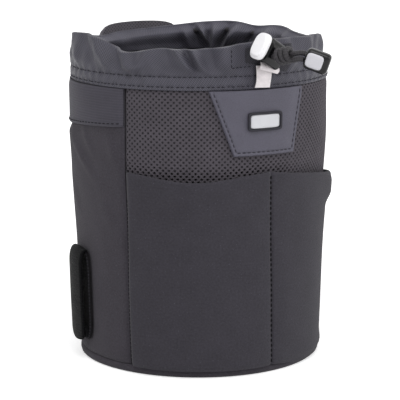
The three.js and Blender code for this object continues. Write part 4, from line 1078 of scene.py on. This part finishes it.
def mesh_panel():
    """The front wall's spacer mesh: a pit at every hole where it shows, deeper at the pocket's mouth."""
    low = np.linspace(WALL_FOOT, FINE_FROM, 28)
    high = np.linspace(FINE_FROM, WALL_TOP, int((WALL_TOP - FINE_FROM) / MESH_STEP))[1:]
    columns = across_wall(-FRONT_HALF_ANGLE, FRONT_HALF_ANGLE, MESH_STEP)
    angle, height = np.meshgrid(columns, np.concatenate([low, high]))
    pits = MESH_PIT * smoothstep(mesh_lattice(angle * MEAN_RADIUS, height), 0.15, 0.8)
    pits = pits * smoothstep(height, FINE_FROM, FINE_FROM + 2)
    pits = pits * (1 + 2.0 * bell(height, pocket_mouth(angle), 3.5))
    outer = wall(angle, height, front_out(angle, height) - pits - 0.2)
    inner = wall(angle, height, -PANEL_THICKNESS - tuck(height))
    inner_rows = [0, 4, len(low) - 1, -1]
    uv = cloth_uv(angle, height)
    piece = slab("front_panel_mesh", outer, inner, uv, front_mesh, keep=inner_rows, slot="air_mesh")
    return cloth(piece, "front_panel", 2 * FRONT_HALF_ANGLE * MEAN_RADIUS, WALL_TOP - WALL_FOOT)


mesh_panel()
wall_panel("left_side_cloth", "left_side_panel", -SIDE_END, -FRONT_HALF_ANGLE)
wall_panel("right_side_cloth", "right_side_panel", FRONT_HALF_ANGLE, SIDE_END)
wall_panel("back_cloth", "back_panel", SIDE_END, TAU - SIDE_END)


def patch_foot(angle):
    """The height of a patch's lower edge, which runs down towards the back."""
    back = (np.abs(angle) - FRONT_HALF_ANGLE) / (SIDE_END - FRONT_HALF_ANGLE)
    return SEAM_HEIGHT - PATCH_HEIGHT - PATCH_BACK_DROP * back


def patch_out(angle, height, start, end):
    """A patch's face: it follows the panel, and is thicker where its lower edge is folded under."""
    above = height - patch_foot(angle)
    fold = 0.35 * bell(above, 1.4, 1.1) - 0.35 * (1 - np.clip(above / 0.5, 0, 1))
    return wall_out(angle, height, start, end) + LAYER_GAP + PATCH_THICKNESS + fold


def patch(name, node, start, end):
    """A ripstop patch over the top of a side panel."""
    angle, share = np.meshgrid(across_wall(start, end, CLOTH_STEP), np.linspace(0, 1, 30))
    height = patch_foot(angle) + share * (WALL_TOP - patch_foot(angle))
    outer = wall(angle, height, patch_out(angle, height, start, end))
    inner = wall(angle, height, wall_out(angle, height, start, end) + LAYER_GAP)
    piece = slab(name, outer, inner, cloth_uv(angle, height), side_ripstop, slot="ripstop")
    return cloth(piece, node, (end - start) * MEAN_RADIUS, PATCH_HEIGHT + PATCH_BACK_DROP / 2)


patch("left_patch_cloth", "left_patch", -SIDE_END, -FRONT_HALF_ANGLE)
patch("right_patch_cloth", "right_patch", FRONT_HALF_ANGLE, SIDE_END)


def ring_stack(name, node, levels, look, slot, wrap_rows=False, folds=None):
    """A skin of rings round the pouch, one per level of a height and a distance out."""
    angle = np.linspace(-np.pi, np.pi, 161)[None]
    height, out = np.array(levels, float).T[:, :, None]
    moved = out + (folds(angle, height) if folds else 0)
    uv = cloth_uv(angle, height + 0.7 * moved)
    points = wall(angle + 0 * height, height + 0 * angle, moved)
    return closed_loft(name, points, uv, look, wrap_rows=wrap_rows, slot=slot, node=node)


# Heights and distances out of the rings of the base, its pad and the foam sleeve
BASE_LEVELS = (
    (0, -9), (0.02, -1.6), (0.25, -0.7), (0.8, -0.15), (1.8, 0.1), (3.2, 0), (4.0, -0.7), (4.0, -9),
)
PAD_LEVELS = ((4.3, -9), (4.4, -6), (5.5, -5.4), (8.2, -4.0), (9.3, -4.6), (9.3, -9))
FOAM_LEVELS = (
    (9.7, -2.9), (141.0, -2.9), (141.4, -3.3), (141.4, -6.3), (141.0, -6.7), (9.7, -6.7), (9.7, -2.9),
)
ring_stack("base_cloth", "base_panel", BASE_LEVELS, side_knit, "stretch_knit")
base_foam = ring_stack("base_pad_foam", "base_pad", PAD_LEVELS, foam_cells, "foam")
foam_sleeve = ring_stack(
    "foam_sleeve_cells", "foam_sleeve", FOAM_LEVELS, foam_cells, "foam", wrap_rows=True
)


def lining_folds(angle, height):
    """The lining's soft folds: they only come inwards."""
    wave = np.sin(11 * angle + 0.03 * height) + np.sin(17 * angle - 0.05 * height + 1.0)
    return -0.35 * (1 + 0.5 * wave)


LINING_FOOT, LINING_OUT, LINING_IN = 9.7, -7.1, -7.9
lining_rise = np.linspace(LINING_FOOT, 141.6, 50)
lining_levels = np.concatenate(
    [
        np.stack([lining_rise, np.full(50, LINING_OUT)], -1),
        [(142.5, -5.2), (143.2, -2.2), (143.8, -2.4), (143.1, -5.9)],
        np.stack([lining_rise[::-1], np.full(50, LINING_IN)], -1),
        [(LINING_FOOT, LINING_OUT)],
    ]
)
BASE_LINING_LEVELS = ((9.65, -14), (9.65, -8.6), (9.9, -8.4), (10.3, -8.5), (10.4, -9.0), (10.4, -14))
lining = ring_stack(
    "lining_cloth", "lining_sleeve", lining_levels, lining_weave, "lining", wrap_rows=True,
    folds=lining_folds,
)
base_lining = ring_stack("base_lining_cloth", "base_lining", BASE_LINING_LEVELS, lining_weave, "lining")

# Pocket

POCKET_THICKNESS = 1.6
POCKET_FLARE, POCKET_GAPE = 2.4, 3.4  # at the right and at the left of its mouth
POCKET_SLUMP = 3.2
POCKET_SLUMP_ANGLES = (turn(5), turn(26))
POCKET_LIP, POCKET_LIP_HEIGHT = 0.78, 1.5


def pocket_foot(angle):
    """The height of the pocket's foot, which slumps over the base on the right."""
    return WALL_FOOT - 0.5 - POCKET_SLUMP * smoothstep(angle, *POCKET_SLUMP_ANGLES)


def pocket_middle(height):
    """The centre stitch's angle. It wanders to the right on its way down."""
    return turn(2.5) * (1 - height / POCKET_TOP)


def pocket_out(angle, height):
    """The pocket's face: slack between its stitches, gaping at the left of its mouth, flared at its right
    and turned in at the foot where it slumps."""
    seam = (FRONT_HALF_ANGLE - np.abs(angle)) * MEAN_RADIUS
    middle = (angle - pocket_middle(height)) * MEAN_RADIUS
    full = smoothstep(np.minimum(seam, np.abs(middle)), 0, 9)
    mouth = pocket_mouth(angle)
    near_mouth = smoothstep(height, mouth - 18, mouth - 10)
    near_mouth = near_mouth * (1 - 0.5 * smoothstep(height, mouth - 5, mouth))
    flare = POCKET_FLARE * bell(angle, turn(52), turn(10)) * near_mouth * smoothstep(seam, 0, 3)
    gape = POCKET_GAPE * bell(angle, turn(-38), turn(16)) * smoothstep(height, mouth - 26, mouth)
    groove = 0.75 * bell(middle, 0, 0.9) + 0.35 * bell(middle, 0, 3.0)
    hem = 0.25 * bell(height, mouth - 1.2, 1.3)
    flat = 0.6 * slack(angle + 0.6, height + 20)
    lying = LAYER_GAP + POCKET_THICKNESS + 0.3 + 0.5 * full
    low = np.clip(1 - (height - pocket_foot(angle)) / 7, 0, 1)
    turned_in = 2.0 * (1 - np.sqrt(1 - low**2)) * smoothstep(angle, *POCKET_SLUMP_ANGLES)
    sunk = groove + tuck(height) + turned_in + 2.5 * seam_dip(seam)
    return lying + flare + gape + hem + flat - sunk


def pocket():
    """The pocket's cloth, finer at its stitches and its seams, with a rolled lip at its mouth."""
    columns = across_wall(-FRONT_HALF_ANGLE, FRONT_HALF_ANGLE, 1.0)
    near_middle = np.linspace(-1.5, 4.2, 20) / MEAN_RADIUS
    near_seam = np.linspace(0.4, 3.4, 8) / MEAN_RADIUS - FRONT_HALF_ANGLE
    columns = np.unique(np.concatenate([columns, near_middle, near_seam, -near_seam]))
    rows = np.concatenate([np.linspace(0, 0.98, 100), np.linspace(0.983, 1, 8)])
    angle, share = np.meshgrid(columns, rows)
    foot = pocket_foot(angle)
    height = foot + share * (pocket_mouth(angle) - foot)
    out = pocket_out(angle, height)
    under = front_out(angle, height) + 0.2
    roll = np.clip(1 - (pocket_mouth(angle) - height) / POCKET_LIP_HEIGHT, 0, 1)
    lip = POCKET_LIP * (1 - np.sqrt(1 - roll**2))
    outer = wall(angle, height, out - lip)
    inner = wall(angle, height, np.maximum(out - POCKET_THICKNESS, under) + lip)
    uv = cloth_uv(angle, height)
    piece = slab("front_pocket_cloth", outer, inner, uv, pocket_neoprene, slot="neoprene")
    return cloth(piece, "front_pocket", 2 * FRONT_HALF_ANGLE * MEAN_RADIUS, POCKET_TOP - WALL_FOOT)


pocket()

# Collar


def creases(angle, height):
    """The creases' relief: a bell curve across each, along a line that leans as it goes down."""
    folds = 0 * (angle + height)
    for middle, lean, width, depth in CREASES:
        folds = folds + depth * round_bell(angle, middle + lean * (RIM_HEIGHT - height), width)
    return folds


def collar_out(angle, height):
    """How far out the collar's outer face is: swollen over the cord, creased, pulled in at its two
    stitch rows and puckered between and above them."""
    arc = angle * MEAN_RADIUS
    above = np.clip((height - BAND_TOP) / (RIM_HEIGHT - BAND_TOP), 0, 1)
    swell = COLLAR_SWELL * np.sin(np.pi * above) ** 0.8
    rows = sum(STITCH_DIP * bell(height, row, STITCH_DIP_WIDTH) for row in STITCH_ROWS)
    pucker = 0.34 * np.sin(arc * TAU / 6.1 + 2 * np.sin(5 * angle)) * bell(height, STITCH_ROWS[1], 2.6)
    pucker = pucker + 0.28 * np.sin(arc * TAU / 4.7 + 1.0) * bell(height, STITCH_ROWS[0], 1.5)
    folds = 0.5 * np.sin(23 * angle + 0.22 * height + 1.5 * np.sin(6 * angle)) + creases(angle, height)
    folds = folds + 0.25 * np.sin(41 * angle - 0.35 * height + 2.0 * np.sin(4 * angle))
    hem = 0.5 * bell(height, SEAM_HEIGHT, 0.6)
    out = COLLAR_LIP + swell + pucker + folds * smoothstep(above, 0, 0.4) - rows - hem
    sunk = np.maximum(-out, 0)
    return np.where(out > 0, out, -0.5 * np.tanh(sunk / 0.5))


def inner_folds(angle, below):
    """The inner face's folds: slanting bell curves, each steep on one side and easy on the other."""
    folds = 0 * angle
    for middle, width, depth, slant in INNER_FOLDS:
        off = wrapped(angle - turn(middle - slant * below))
        folds = folds + depth * bell(off, 0, turn(width) * np.where(off < 0, 1.4, 0.6))
    return folds


def collar_skin(angle, height, lift=0.0):
    """Points on the collar's outer face, lifted off it."""
    return collar(angle, height, collar_out(angle, height) + lift)


INNER_TOP, INNER_SWELL, INNER_RETURN = -1.5, 4.2, 1.2
INNER_FALL, BAND_SHARE = 0.66, 0.27  # shares of the collar's height: down the inner face, and of the band
COLLAR_RUN, RIM_RUN = 21, 3  # the cloth's run up to the rim and over it


def collar_cloth():
    """A closed skin: up the outer face, over the rim, down inside it and back under the band. Inside, it
    swells round the cord below the rim and goes out again under it."""
    rise = np.linspace(0, 1, 50)
    over = np.linspace(0, np.pi, 9)[1:-1]
    down = 1 - np.linspace(0, 1, 30) ** 1.5 * INNER_FALL
    band = np.linspace(BAND_SHARE, 0, 6)
    inside = np.ones(len(down) + len(band))
    share = np.concatenate([rise, np.ones(len(over)), down, band, [0]])[:, None]
    hump = np.concatenate([0 * rise, RIM_EDGE * np.sin(over), 0 * inside, [0]])[:, None]
    inward = np.concatenate([0 * rise, (1 - np.cos(over)) / 2, inside, [0]])[:, None]
    angle = np.linspace(-np.pi, np.pi, 541)[None]
    rim = RIM_HEIGHT - RIM_EDGE
    height = SEAM_HEIGHT + share * (rim - SEAM_HEIGHT) + hump + 0 * angle
    below = rim - height
    outer = collar_out(angle, height)
    lined = INNER_TOP - INNER_SWELL * smoothstep(below, 0, 4.4)
    lined = lined + INNER_RETURN * smoothstep(below, 5.5, 12)
    folds = -inner_folds(angle, below) * np.sin(np.clip(below / 18, 0, 1) * np.pi)
    rim_fold = np.minimum(creases(angle, rim), 0) * (1 - smoothstep(below, 0, 7))
    inner = np.where(share > 0.3, np.minimum(lined + folds + rim_fold, -1.4), BAND_INNER)
    out = outer * (1 - inward) + inner * inward
    steps = np.hypot(np.diff(share[:, 0]) * COLLAR_RUN, np.diff(inward[:, 0]) * RIM_RUN)
    uv = cloth_uv(angle, np.concatenate([[0], np.cumsum(steps)])[:, None])
    points = collar(angle, height, out)
    piece = closed_loft("collar_cloth", points, uv, collar_twill, wrap_rows=True, slot="twill")
    return cloth(piece, "collar", 400, 26, held="gathered")


collar_cloth()

FACING_LEFT, FACING_TIP, FACING_RIGHT = 6.5, 14.5, 19.0
FACING_HEAD, FACING_FEET = 2.2, (-5.0, -11.0, -4.4)  # heights from the lock's: head, and foot's corners
FACING_OUT, FACING_IN, FACING_CURL = 1.0, 0.35, 0.9


def facing():
    """The slot's facing: a flap with its lower corner under the cords."""
    along = np.linspace(-FACING_LEFT, FACING_RIGHT, 34)
    foot = np.interp(along, [-FACING_LEFT, FACING_TIP, FACING_RIGHT], FACING_FEET)
    angle, share = np.meshgrid(SLOT_ANGLE + along / MEAN_RADIUS, np.linspace(0, 1, 16))
    height = LOCK_HEIGHT + foot + share * (FACING_HEAD - foot)
    curl = FACING_CURL * bell((angle - SLOT_ANGLE) * MEAN_RADIUS, FACING_TIP, 4.0) * (1 - share) ** 2
    uv = cloth_uv(angle, height)
    outer = collar_skin(angle, height, FACING_OUT + curl)
    inner = collar_skin(angle, height, FACING_IN + curl)
    piece = slab("slot_facing_cloth", outer, inner, uv, facing_twill, slot="twill")
    return cloth(piece, "slot_facing", FACING_LEFT + FACING_RIGHT, 13.2, area=0.00024)


facing()

# Padded back

BACK_PAD_LOW, BACK_PAD_HIGH, BACK_PAD_HALF_WIDTH = 20.0, 164.2, 27.0
BACK_PAD_FACE, BACK_PAD_CORNERS = 66.0, 7.5
BACK_PAD_GAP, BACK_PAD_EDGE, BACK_PAD_QUILT = 1.2, 1.4, 0.5


def back_pad():
    """The pad on the back: puffed, flat enough to lie on, and its other side on the wall."""
    middle, half = (BACK_PAD_LOW + BACK_PAD_HIGH) / 2, (BACK_PAD_HIGH - BACK_PAD_LOW) / 2

    def on_wall(x, y, share):
        """The pad's own wall side: the back wall's ellipse, a little out."""
        half_width, _, depth = half_axes(middle + y)
        return depth * np.sqrt(1 - (x / half_width) ** 2) + BACK_PAD_GAP

    def puffed(x, y, share):
        """The pad's outer side: from its edge to its face as (1 - share^10)^0.5, with a soft quilt."""
        thick = (1 - share**10) ** 0.5
        edge = on_wall(x, y, share) + BACK_PAD_EDGE
        quilt = BACK_PAD_QUILT * np.cos(x / 9.0) * np.cos(y / 24.0)
        return edge + (BACK_PAD_FACE - 0.4 + quilt - edge) * thick

    def place(x, y, depth):
        """A point on the pad, whose top corners droop."""
        dome = (x / 22) ** 2 * smoothstep(y, half - 30, half)
        return np.stack(np.broadcast_arrays(-x, depth, middle + y - dome), -1)

    piece = cushion(
        "back_pad_mesh", BACK_PAD_HALF_WIDTH, half, BACK_PAD_CORNERS, puffed, on_wall, place, pad_mesh,
        steps=160, rings=30, slot="air_mesh", node="back_pad",
    )


back_pad()

# Label

LABEL_DROP, LABEL_WIDTH, LABEL_THICKNESS = 10.4, 8.4, 0.5
LABEL_FOLD_LENGTH, LABEL_FOLD_WIDTH, LABEL_FOLD_SLOPE = 11.4, 3.6, turn(17)


def leaf(name, x, y, z):
    """One leaf of the label, from its front face."""
    outer, uv = np.stack([x, y, z], -1), np.stack([x, z], -1)
    behind = outer + [0, LABEL_THICKNESS, 0]
    slab(name, outer, behind, uv, label_cloth, slot="label_cloth", node="care_label")


def label():
    """A folded ribbon. One leaf hangs and bows out, and over its top the other is rolled and turned
    aside: a strip that slopes down to the right, bowed across by half a sine."""
    low, high = (np.array(c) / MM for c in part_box("care_label"))
    face = high[1]
    across, down = np.meshgrid(np.linspace(0, 1, 14), np.linspace(0, 1, 26))
    x = low[0] + 0.5 + LABEL_WIDTH * across + 0.7 * down
    z = low[2] + LABEL_DROP * down - 0.4 * across
    y = face - 1.0 - 0.9 * np.sin(np.pi * (1 - down)) - 0.35 * np.sin(5 * down + 3 * across) * (1 - down)
    leaf("label_leaf", x, y, z)
    run, wide = np.meshgrid(np.linspace(0, 1, 26), np.linspace(0, 1, 14))
    level, steep = np.cos(LABEL_FOLD_SLOPE), np.sin(LABEL_FOLD_SLOPE)
    along = LABEL_FOLD_LENGTH * run
    up = LABEL_FOLD_WIDTH * (wide - 0.5) * (1 - 0.2 * run)
    x = low[0] + 2.0 + along * level + up * steep
    z = low[2] + 10.6 - along * steep + up * level
    roll = np.sin(np.pi * (0.1 + 0.8 * wide))
    y = face - 2.0 - 1.3 * roll - 0.5 * np.sin(np.pi * run) - 0.25 * np.sin(11 * run + 2 * wide)
    leaf("label_turned_leaf", x, y, z)


label()

# Badge

BADGE_LOW, BADGE_THICKNESS = 109.7, 1.2
BADGE_HEIGHT = WALL_TOP - BADGE_LOW
BADGE_TOP_ANGLES = (turn(-27.6), turn(17.3))
BADGE_LOW_ANGLES = (turn(-16.8), turn(12.5))
BADGE_STITCH_INSET = 1.9
BADGE_GROOVE, BADGE_SWELL, BADGE_CORE = 0.35, 0.5, 0.15


def badge_angles(share):
    """The badge's left and right edges at a share of its height."""
    return [low + (top - low) * share for low, top in zip(BADGE_LOW_ANGLES, BADGE_TOP_ANGLES)]


def badge_place(across, share):
    """The angle and height at shares of the badge's width and height, and its inner face's way out."""
    left, right = badge_angles(share)
    angle = left + (right - left) * across
    height = BADGE_LOW + share * BADGE_HEIGHT
    return angle, height, front_out(angle, height) + LAYER_GAP


def badge():
    """The badge: leather with turned edges, a groove along its stitching and a slight swell."""
    across, share = np.meshgrid(np.linspace(0, 1, 120), np.linspace(0, 1, 84))
    angle, height, under = badge_place(across, share)
    left, right = badge_angles(share)
    to_side = np.minimum(across, 1 - across) * ((right - left) * MEAN_RADIUS)
    edge = np.minimum(to_side, share * BADGE_HEIGHT)
    turned = BADGE_THICKNESS * np.sqrt(1 - np.clip(1 - edge, 0, 1) ** 2)
    groove = BADGE_GROOVE * bell(edge, BADGE_STITCH_INSET, 0.55)
    swell = BADGE_SWELL * smoothstep(edge, 2, 9)
    outer = wall(angle, height, under + BADGE_CORE + turned - groove + swell)
    uv = cloth_uv(angle, share * BADGE_HEIGHT)
    inner = wall(angle, height, under)
    piece = slab("badge_leather", outer, inner, uv, badge_leather, slot="grained_leather")
    return cloth(piece, "badge_patch", 51, 32, area=0.00137)


badge()

PLATE_ANGLE, PLATE_HALF_WIDTH, PLATE_HALF_HEIGHT = turn(-3.4), 8.85, 4.6
PLATE_MIDDLE = 126.6
PLATE_RIM, PLATE_GAP, PLATE_CORNERS = 1.1, 0.15, 9.0
FRAME_OUT, FRAME_HALF_DEPTH = 2.55, 0.75
FRAME_BLUNT = 0.5  # the power that makes its section's circle a rounded square
PLATE_BACK, PLATE_EDGE, PLATE_CROWN = 1.8, 2.3, 0.55


def on_badge(x, z, out):
    """A point on the badge, x and z from the plate's middle."""
    return wall(PLATE_ANGLE + x / MEAN_RADIUS, PLATE_MIDDLE + z, out)


def plate_frame():
    """The rubber frame: a rounded section carried round a superellipse path."""
    angle = np.linspace(0, TAU, 121)[None]
    section = np.linspace(0, TAU, 17)[:, None]
    inset = PLATE_RIM / 2 * (1 + signed_power(np.cos(section), FRAME_BLUNT))
    x, z = superellipse(angle, PLATE_HALF_WIDTH - inset, PLATE_HALF_HEIGHT - inset, PLATE_CORNERS)
    out = FRAME_OUT + FRAME_HALF_DEPTH * signed_power(np.sin(section), FRAME_BLUNT) + 0 * angle
    uv = np.stack(np.broadcast_arrays(angle * 8, section), -1)
    closed_loft(
        "badge_frame_rubber", on_badge(x, z, out)[::-1], uv, rubber_frame, wrap_rows=True,
        slot="black_rubber", node="badge_frame",
    )


plate_frame()
plate_inset = PLATE_RIM + PLATE_GAP
cushion(
    "badge_plate_blank", PLATE_HALF_WIDTH - plate_inset, PLATE_HALF_HEIGHT - plate_inset, PLATE_CORNERS,
    lambda x, y, share: PLATE_EDGE + PLATE_CROWN * np.sqrt(1 - share**16),
    lambda x, y, share: PLATE_BACK + 0 * x * share,
    on_badge, pale_plate, slot="pale_enamel", node="badge_plate",
)

# Belt loops

LOOP_ANGLE, LOOP_HEIGHT, LOOP_HALF_HEIGHT = turn(98.5), 34.6, 23.6
LOOP_HALF_WIDTH, TONGUE_HALF_WIDTH, TONGUE_CORNER = 9.5, 8.0, 5.5
TONGUE_THICKNESS, TONGUE_EDGE = 1.6, 1.1
TONGUE_ROLL_FROM, TONGUE_ROLL, TONGUE_ROOT, TONGUE_STAND = 15.6, 8.0, 0.9, 2.6
LOOP_CORNERS, TAPE_CORNERS = 5.0, 4.0
LOOP_BACK, LOOP_FRONT = 0.75, 1.0
TAPE_HALF_HEIGHT, TAPE_THICKNESS, TAPE_DROP = 3.05, 0.5, 19.35
TAPE_INSET, FLEECE_OUT, HOOKS_OUT = 1.2, 1.5, 2.3
BORDER_WIDTH, BORDER_HEIGHT = 0.93 * LOOP_HALF_WIDTH, 0.97 * LOOP_HALF_HEIGHT
BORDER_OUT, BORDER_BLUNT = 1.6, 0.4


def tongue_inner(z):
    """How far the tongue's inner face stands out: rolled out of its root at the top by a quarter ellipse,
    then straight down over the belt to the closure."""
    roll = np.sqrt(1 - np.clip((z - TONGUE_ROLL_FROM) / TONGUE_ROLL, 0, 0.999) ** 2)
    return TONGUE_ROOT + (TONGUE_STAND + 0.2 * smoothstep(z, -19, 0)) * roll


def belt_loop(side, angle):
    """One belt loop, in a frame on the wall: x out, y along the wall and z up it."""
    place = wall(angle, LOOP_HEIGHT)
    up = unit(wall(angle, LOOP_HEIGHT + 1) - wall(angle, LOOP_HEIGHT - 1))
    along = wall(angle + 0.01, LOOP_HEIGHT) - wall(angle - 0.01, LOOP_HEIGHT)
    out_axis = unit(np.cross(along, up))
    axes = np.stack([out_axis, np.cross(up, out_axis), up])

    def put(x, y, z):
        """A point out, along and up from the loop's middle."""
        return place + np.stack(np.broadcast_arrays(x, y, z), -1) @ axes

    def hug(y):
        """How far the wall has curved away."""
        return -(y**2) / (2 * MEAN_RADIUS)

    def webbing(y, z, share):
        """The base's outer side: crowned, with a raised border."""
        return LOOP_FRONT + hug(y) + 0.4 * np.sqrt(1 - share**10) + 0.35 * bell(share, 0.93, 0.05)

    cushion(
        f"{side}_loop_base_web", LOOP_HALF_WIDTH, LOOP_HALF_HEIGHT, LOOP_CORNERS, webbing,
        lambda y, z, share: LOOP_BACK + hug(y) + 0 * share,
        lambda y, z, x: put(x, y, z), loop_weave, steps=96, rings=24, slot="coated_web",
        node=f"{side}_loop_base",
    )
    around = np.linspace(0, TAU, 240)
    border_y = BORDER_WIDTH * signed_power(np.cos(around), BORDER_BLUNT)
    border_z = BORDER_HEIGHT * signed_power(np.sin(around), BORDER_BLUNT)
    border = put(BORDER_OUT + hug(border_y), border_y, border_z)
    stitches(f"{side}_loop_stitches", border, out_axis, LOOP_STITCH, grey_thread)
    rows = -LOOP_HALF_HEIGHT * np.cos(np.linspace(0, np.pi, 70))
    across, z = np.meshgrid(np.linspace(-1, 1, 26), rows)
    to_end = np.where(z < 0, np.clip(TONGUE_CORNER - LOOP_HALF_HEIGHT - z, 0, TONGUE_CORNER - 0.02), 0)
    y = (TONGUE_HALF_WIDTH - TONGUE_CORNER + np.sqrt(TONGUE_CORNER**2 - to_end**2)) * across
    inner_x = tongue_inner(z)
    edge = np.clip(1 - (1 - np.abs(across)) * TONGUE_HALF_WIDTH / TONGUE_EDGE, 0, 1)
    foot = np.clip(1 - (z + LOOP_HALF_HEIGHT) / TONGUE_EDGE, 0, 1)
    thin = 0.6 * (1 - np.sqrt(1 - np.maximum(edge, foot) ** 2))
    arch = 0.8 * (1 - across**2)
    outer = put(inner_x + TONGUE_THICKNESS - thin + arch, y, z)
    inner = put(inner_x + thin * 0.5, y, z)
    uv = np.stack([y, z], -1)
    tongue = slab(f"{side}_tongue_web", outer, inner, uv, tongue_satin, body=None, slot="coated_web")
    root, bend = put(0, 0, LOOP_HALF_HEIGHT), put(0, 0, 14)
    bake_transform(tongue)
    cloth(tongue, f"{side}_tongue", 16, 51)
    for name, back, body, node in (
        ("fleece", FLEECE_OUT, "pouch", f"{side}_loop_fleece"),
        ("hooks", HOOKS_OUT, f"{side}_tongue", f"{side}_tongue_hook"),
    ):
        cushion(
            f"{side}_{name}", TONGUE_HALF_WIDTH - TAPE_INSET, TAPE_HALF_HEIGHT, TAPE_CORNERS,
            lambda y, z, share: back + TAPE_THICKNESS + 0 * y * share,
            lambda y, z, share: back + 0 * y * share,
            lambda y, z, x: put(x, y, z - TAPE_DROP), hook_tape, body=body, slot="hook_tape", node=node,
        )


belt_loop("left", -LOOP_ANGLE)
belt_loop("right", LOOP_ANGLE)

# Stitching

SEAM_STITCH_INSET, PATCH_STITCH_INSET = 0.75, 1.6


def stitch_round(name, angle, height, surface, size, look):
    """A row of stitches along a line on the pouch."""
    angle, height = np.broadcast_arrays(np.asarray(angle, float), np.asarray(height, float))
    stitches(name, surface(angle, height), outward(angle), size, look)


all_round = np.linspace(-np.pi, np.pi, 480)
for number, row in enumerate(STITCH_ROWS):
    stitch_round(f"collar_stitches_{number}", all_round, row, collar_skin, COLLAR_STITCH, collar_thread)


def pocket_skin(angle, height):
    """Points on the pocket's face."""
    return wall(angle, height, pocket_out(angle, height))


run = np.linspace(5, 100, 90)
stitch_round("pocket_stitches", pocket_middle(run), run, pocket_skin, POCKET_STITCH, dark_thread)
for side, edge in (("left", -1), ("right", 1)):
    seam = edge * (FRONT_HALF_ANGLE - SEAM_STITCH_INSET / MEAN_RADIUS)
    run = np.linspace(6, 88, 80)
    stitch_round(f"{side}_seam_stitches", seam, run, pocket_skin, SEAM_STITCH, dark_thread)
    start, end = sorted((edge * FRONT_HALF_ANGLE, edge * SIDE_END))
    run = np.linspace(start + 0.03, end - 0.03, 80)
    stitch_round(
        f"{side}_patch_stitches", run, patch_foot(run) + PATCH_STITCH_INSET,
        lambda a, h: wall(a, h, patch_out(a, h, start, end)), PATCH_STITCH, dark_thread,
    )
# The box stitch on the collar beside the lock: down its side and along its foot
BOX_ANGLES, BOX_HEIGHTS = (turn(-18.3), turn(-9)), (153.0, 163.0)
box_side, box_foot = np.linspace(*BOX_HEIGHTS, 30), np.linspace(*BOX_ANGLES, 30)
stitch_round("box_stitches_side", BOX_ANGLES[0], box_side, collar_skin, BOX_STITCH, collar_thread)
stitch_round("box_stitches_foot", box_foot, BOX_HEIGHTS[0], collar_skin, BOX_STITCH, collar_thread)


def badge_stitches():
    """Down the left edge, along the foot and up the right edge, each an inset from it."""
    run = np.linspace(0, 1, 60)
    low = BADGE_STITCH_INSET / BADGE_HEIGHT
    left, right = badge_angles(run)
    aside = BADGE_STITCH_INSET / ((right - left) * MEAN_RADIUS)
    rise = low + (0.97 - low) * run
    foot = aside[0] + (1 - 2 * aside[0]) * run
    edges = (("left", aside, rise), ("right", 1 - aside, rise), ("foot", foot, low + 0 * run))
    for name, across, share in edges:
        angle, height, under = badge_place(across, share)
        line = wall(angle, height, under + BADGE_THICKNESS - 0.1)
        stitches(f"badge_stitches_{name}", line, outward(angle), BADGE_STITCH, grey_thread)


badge_stitches()
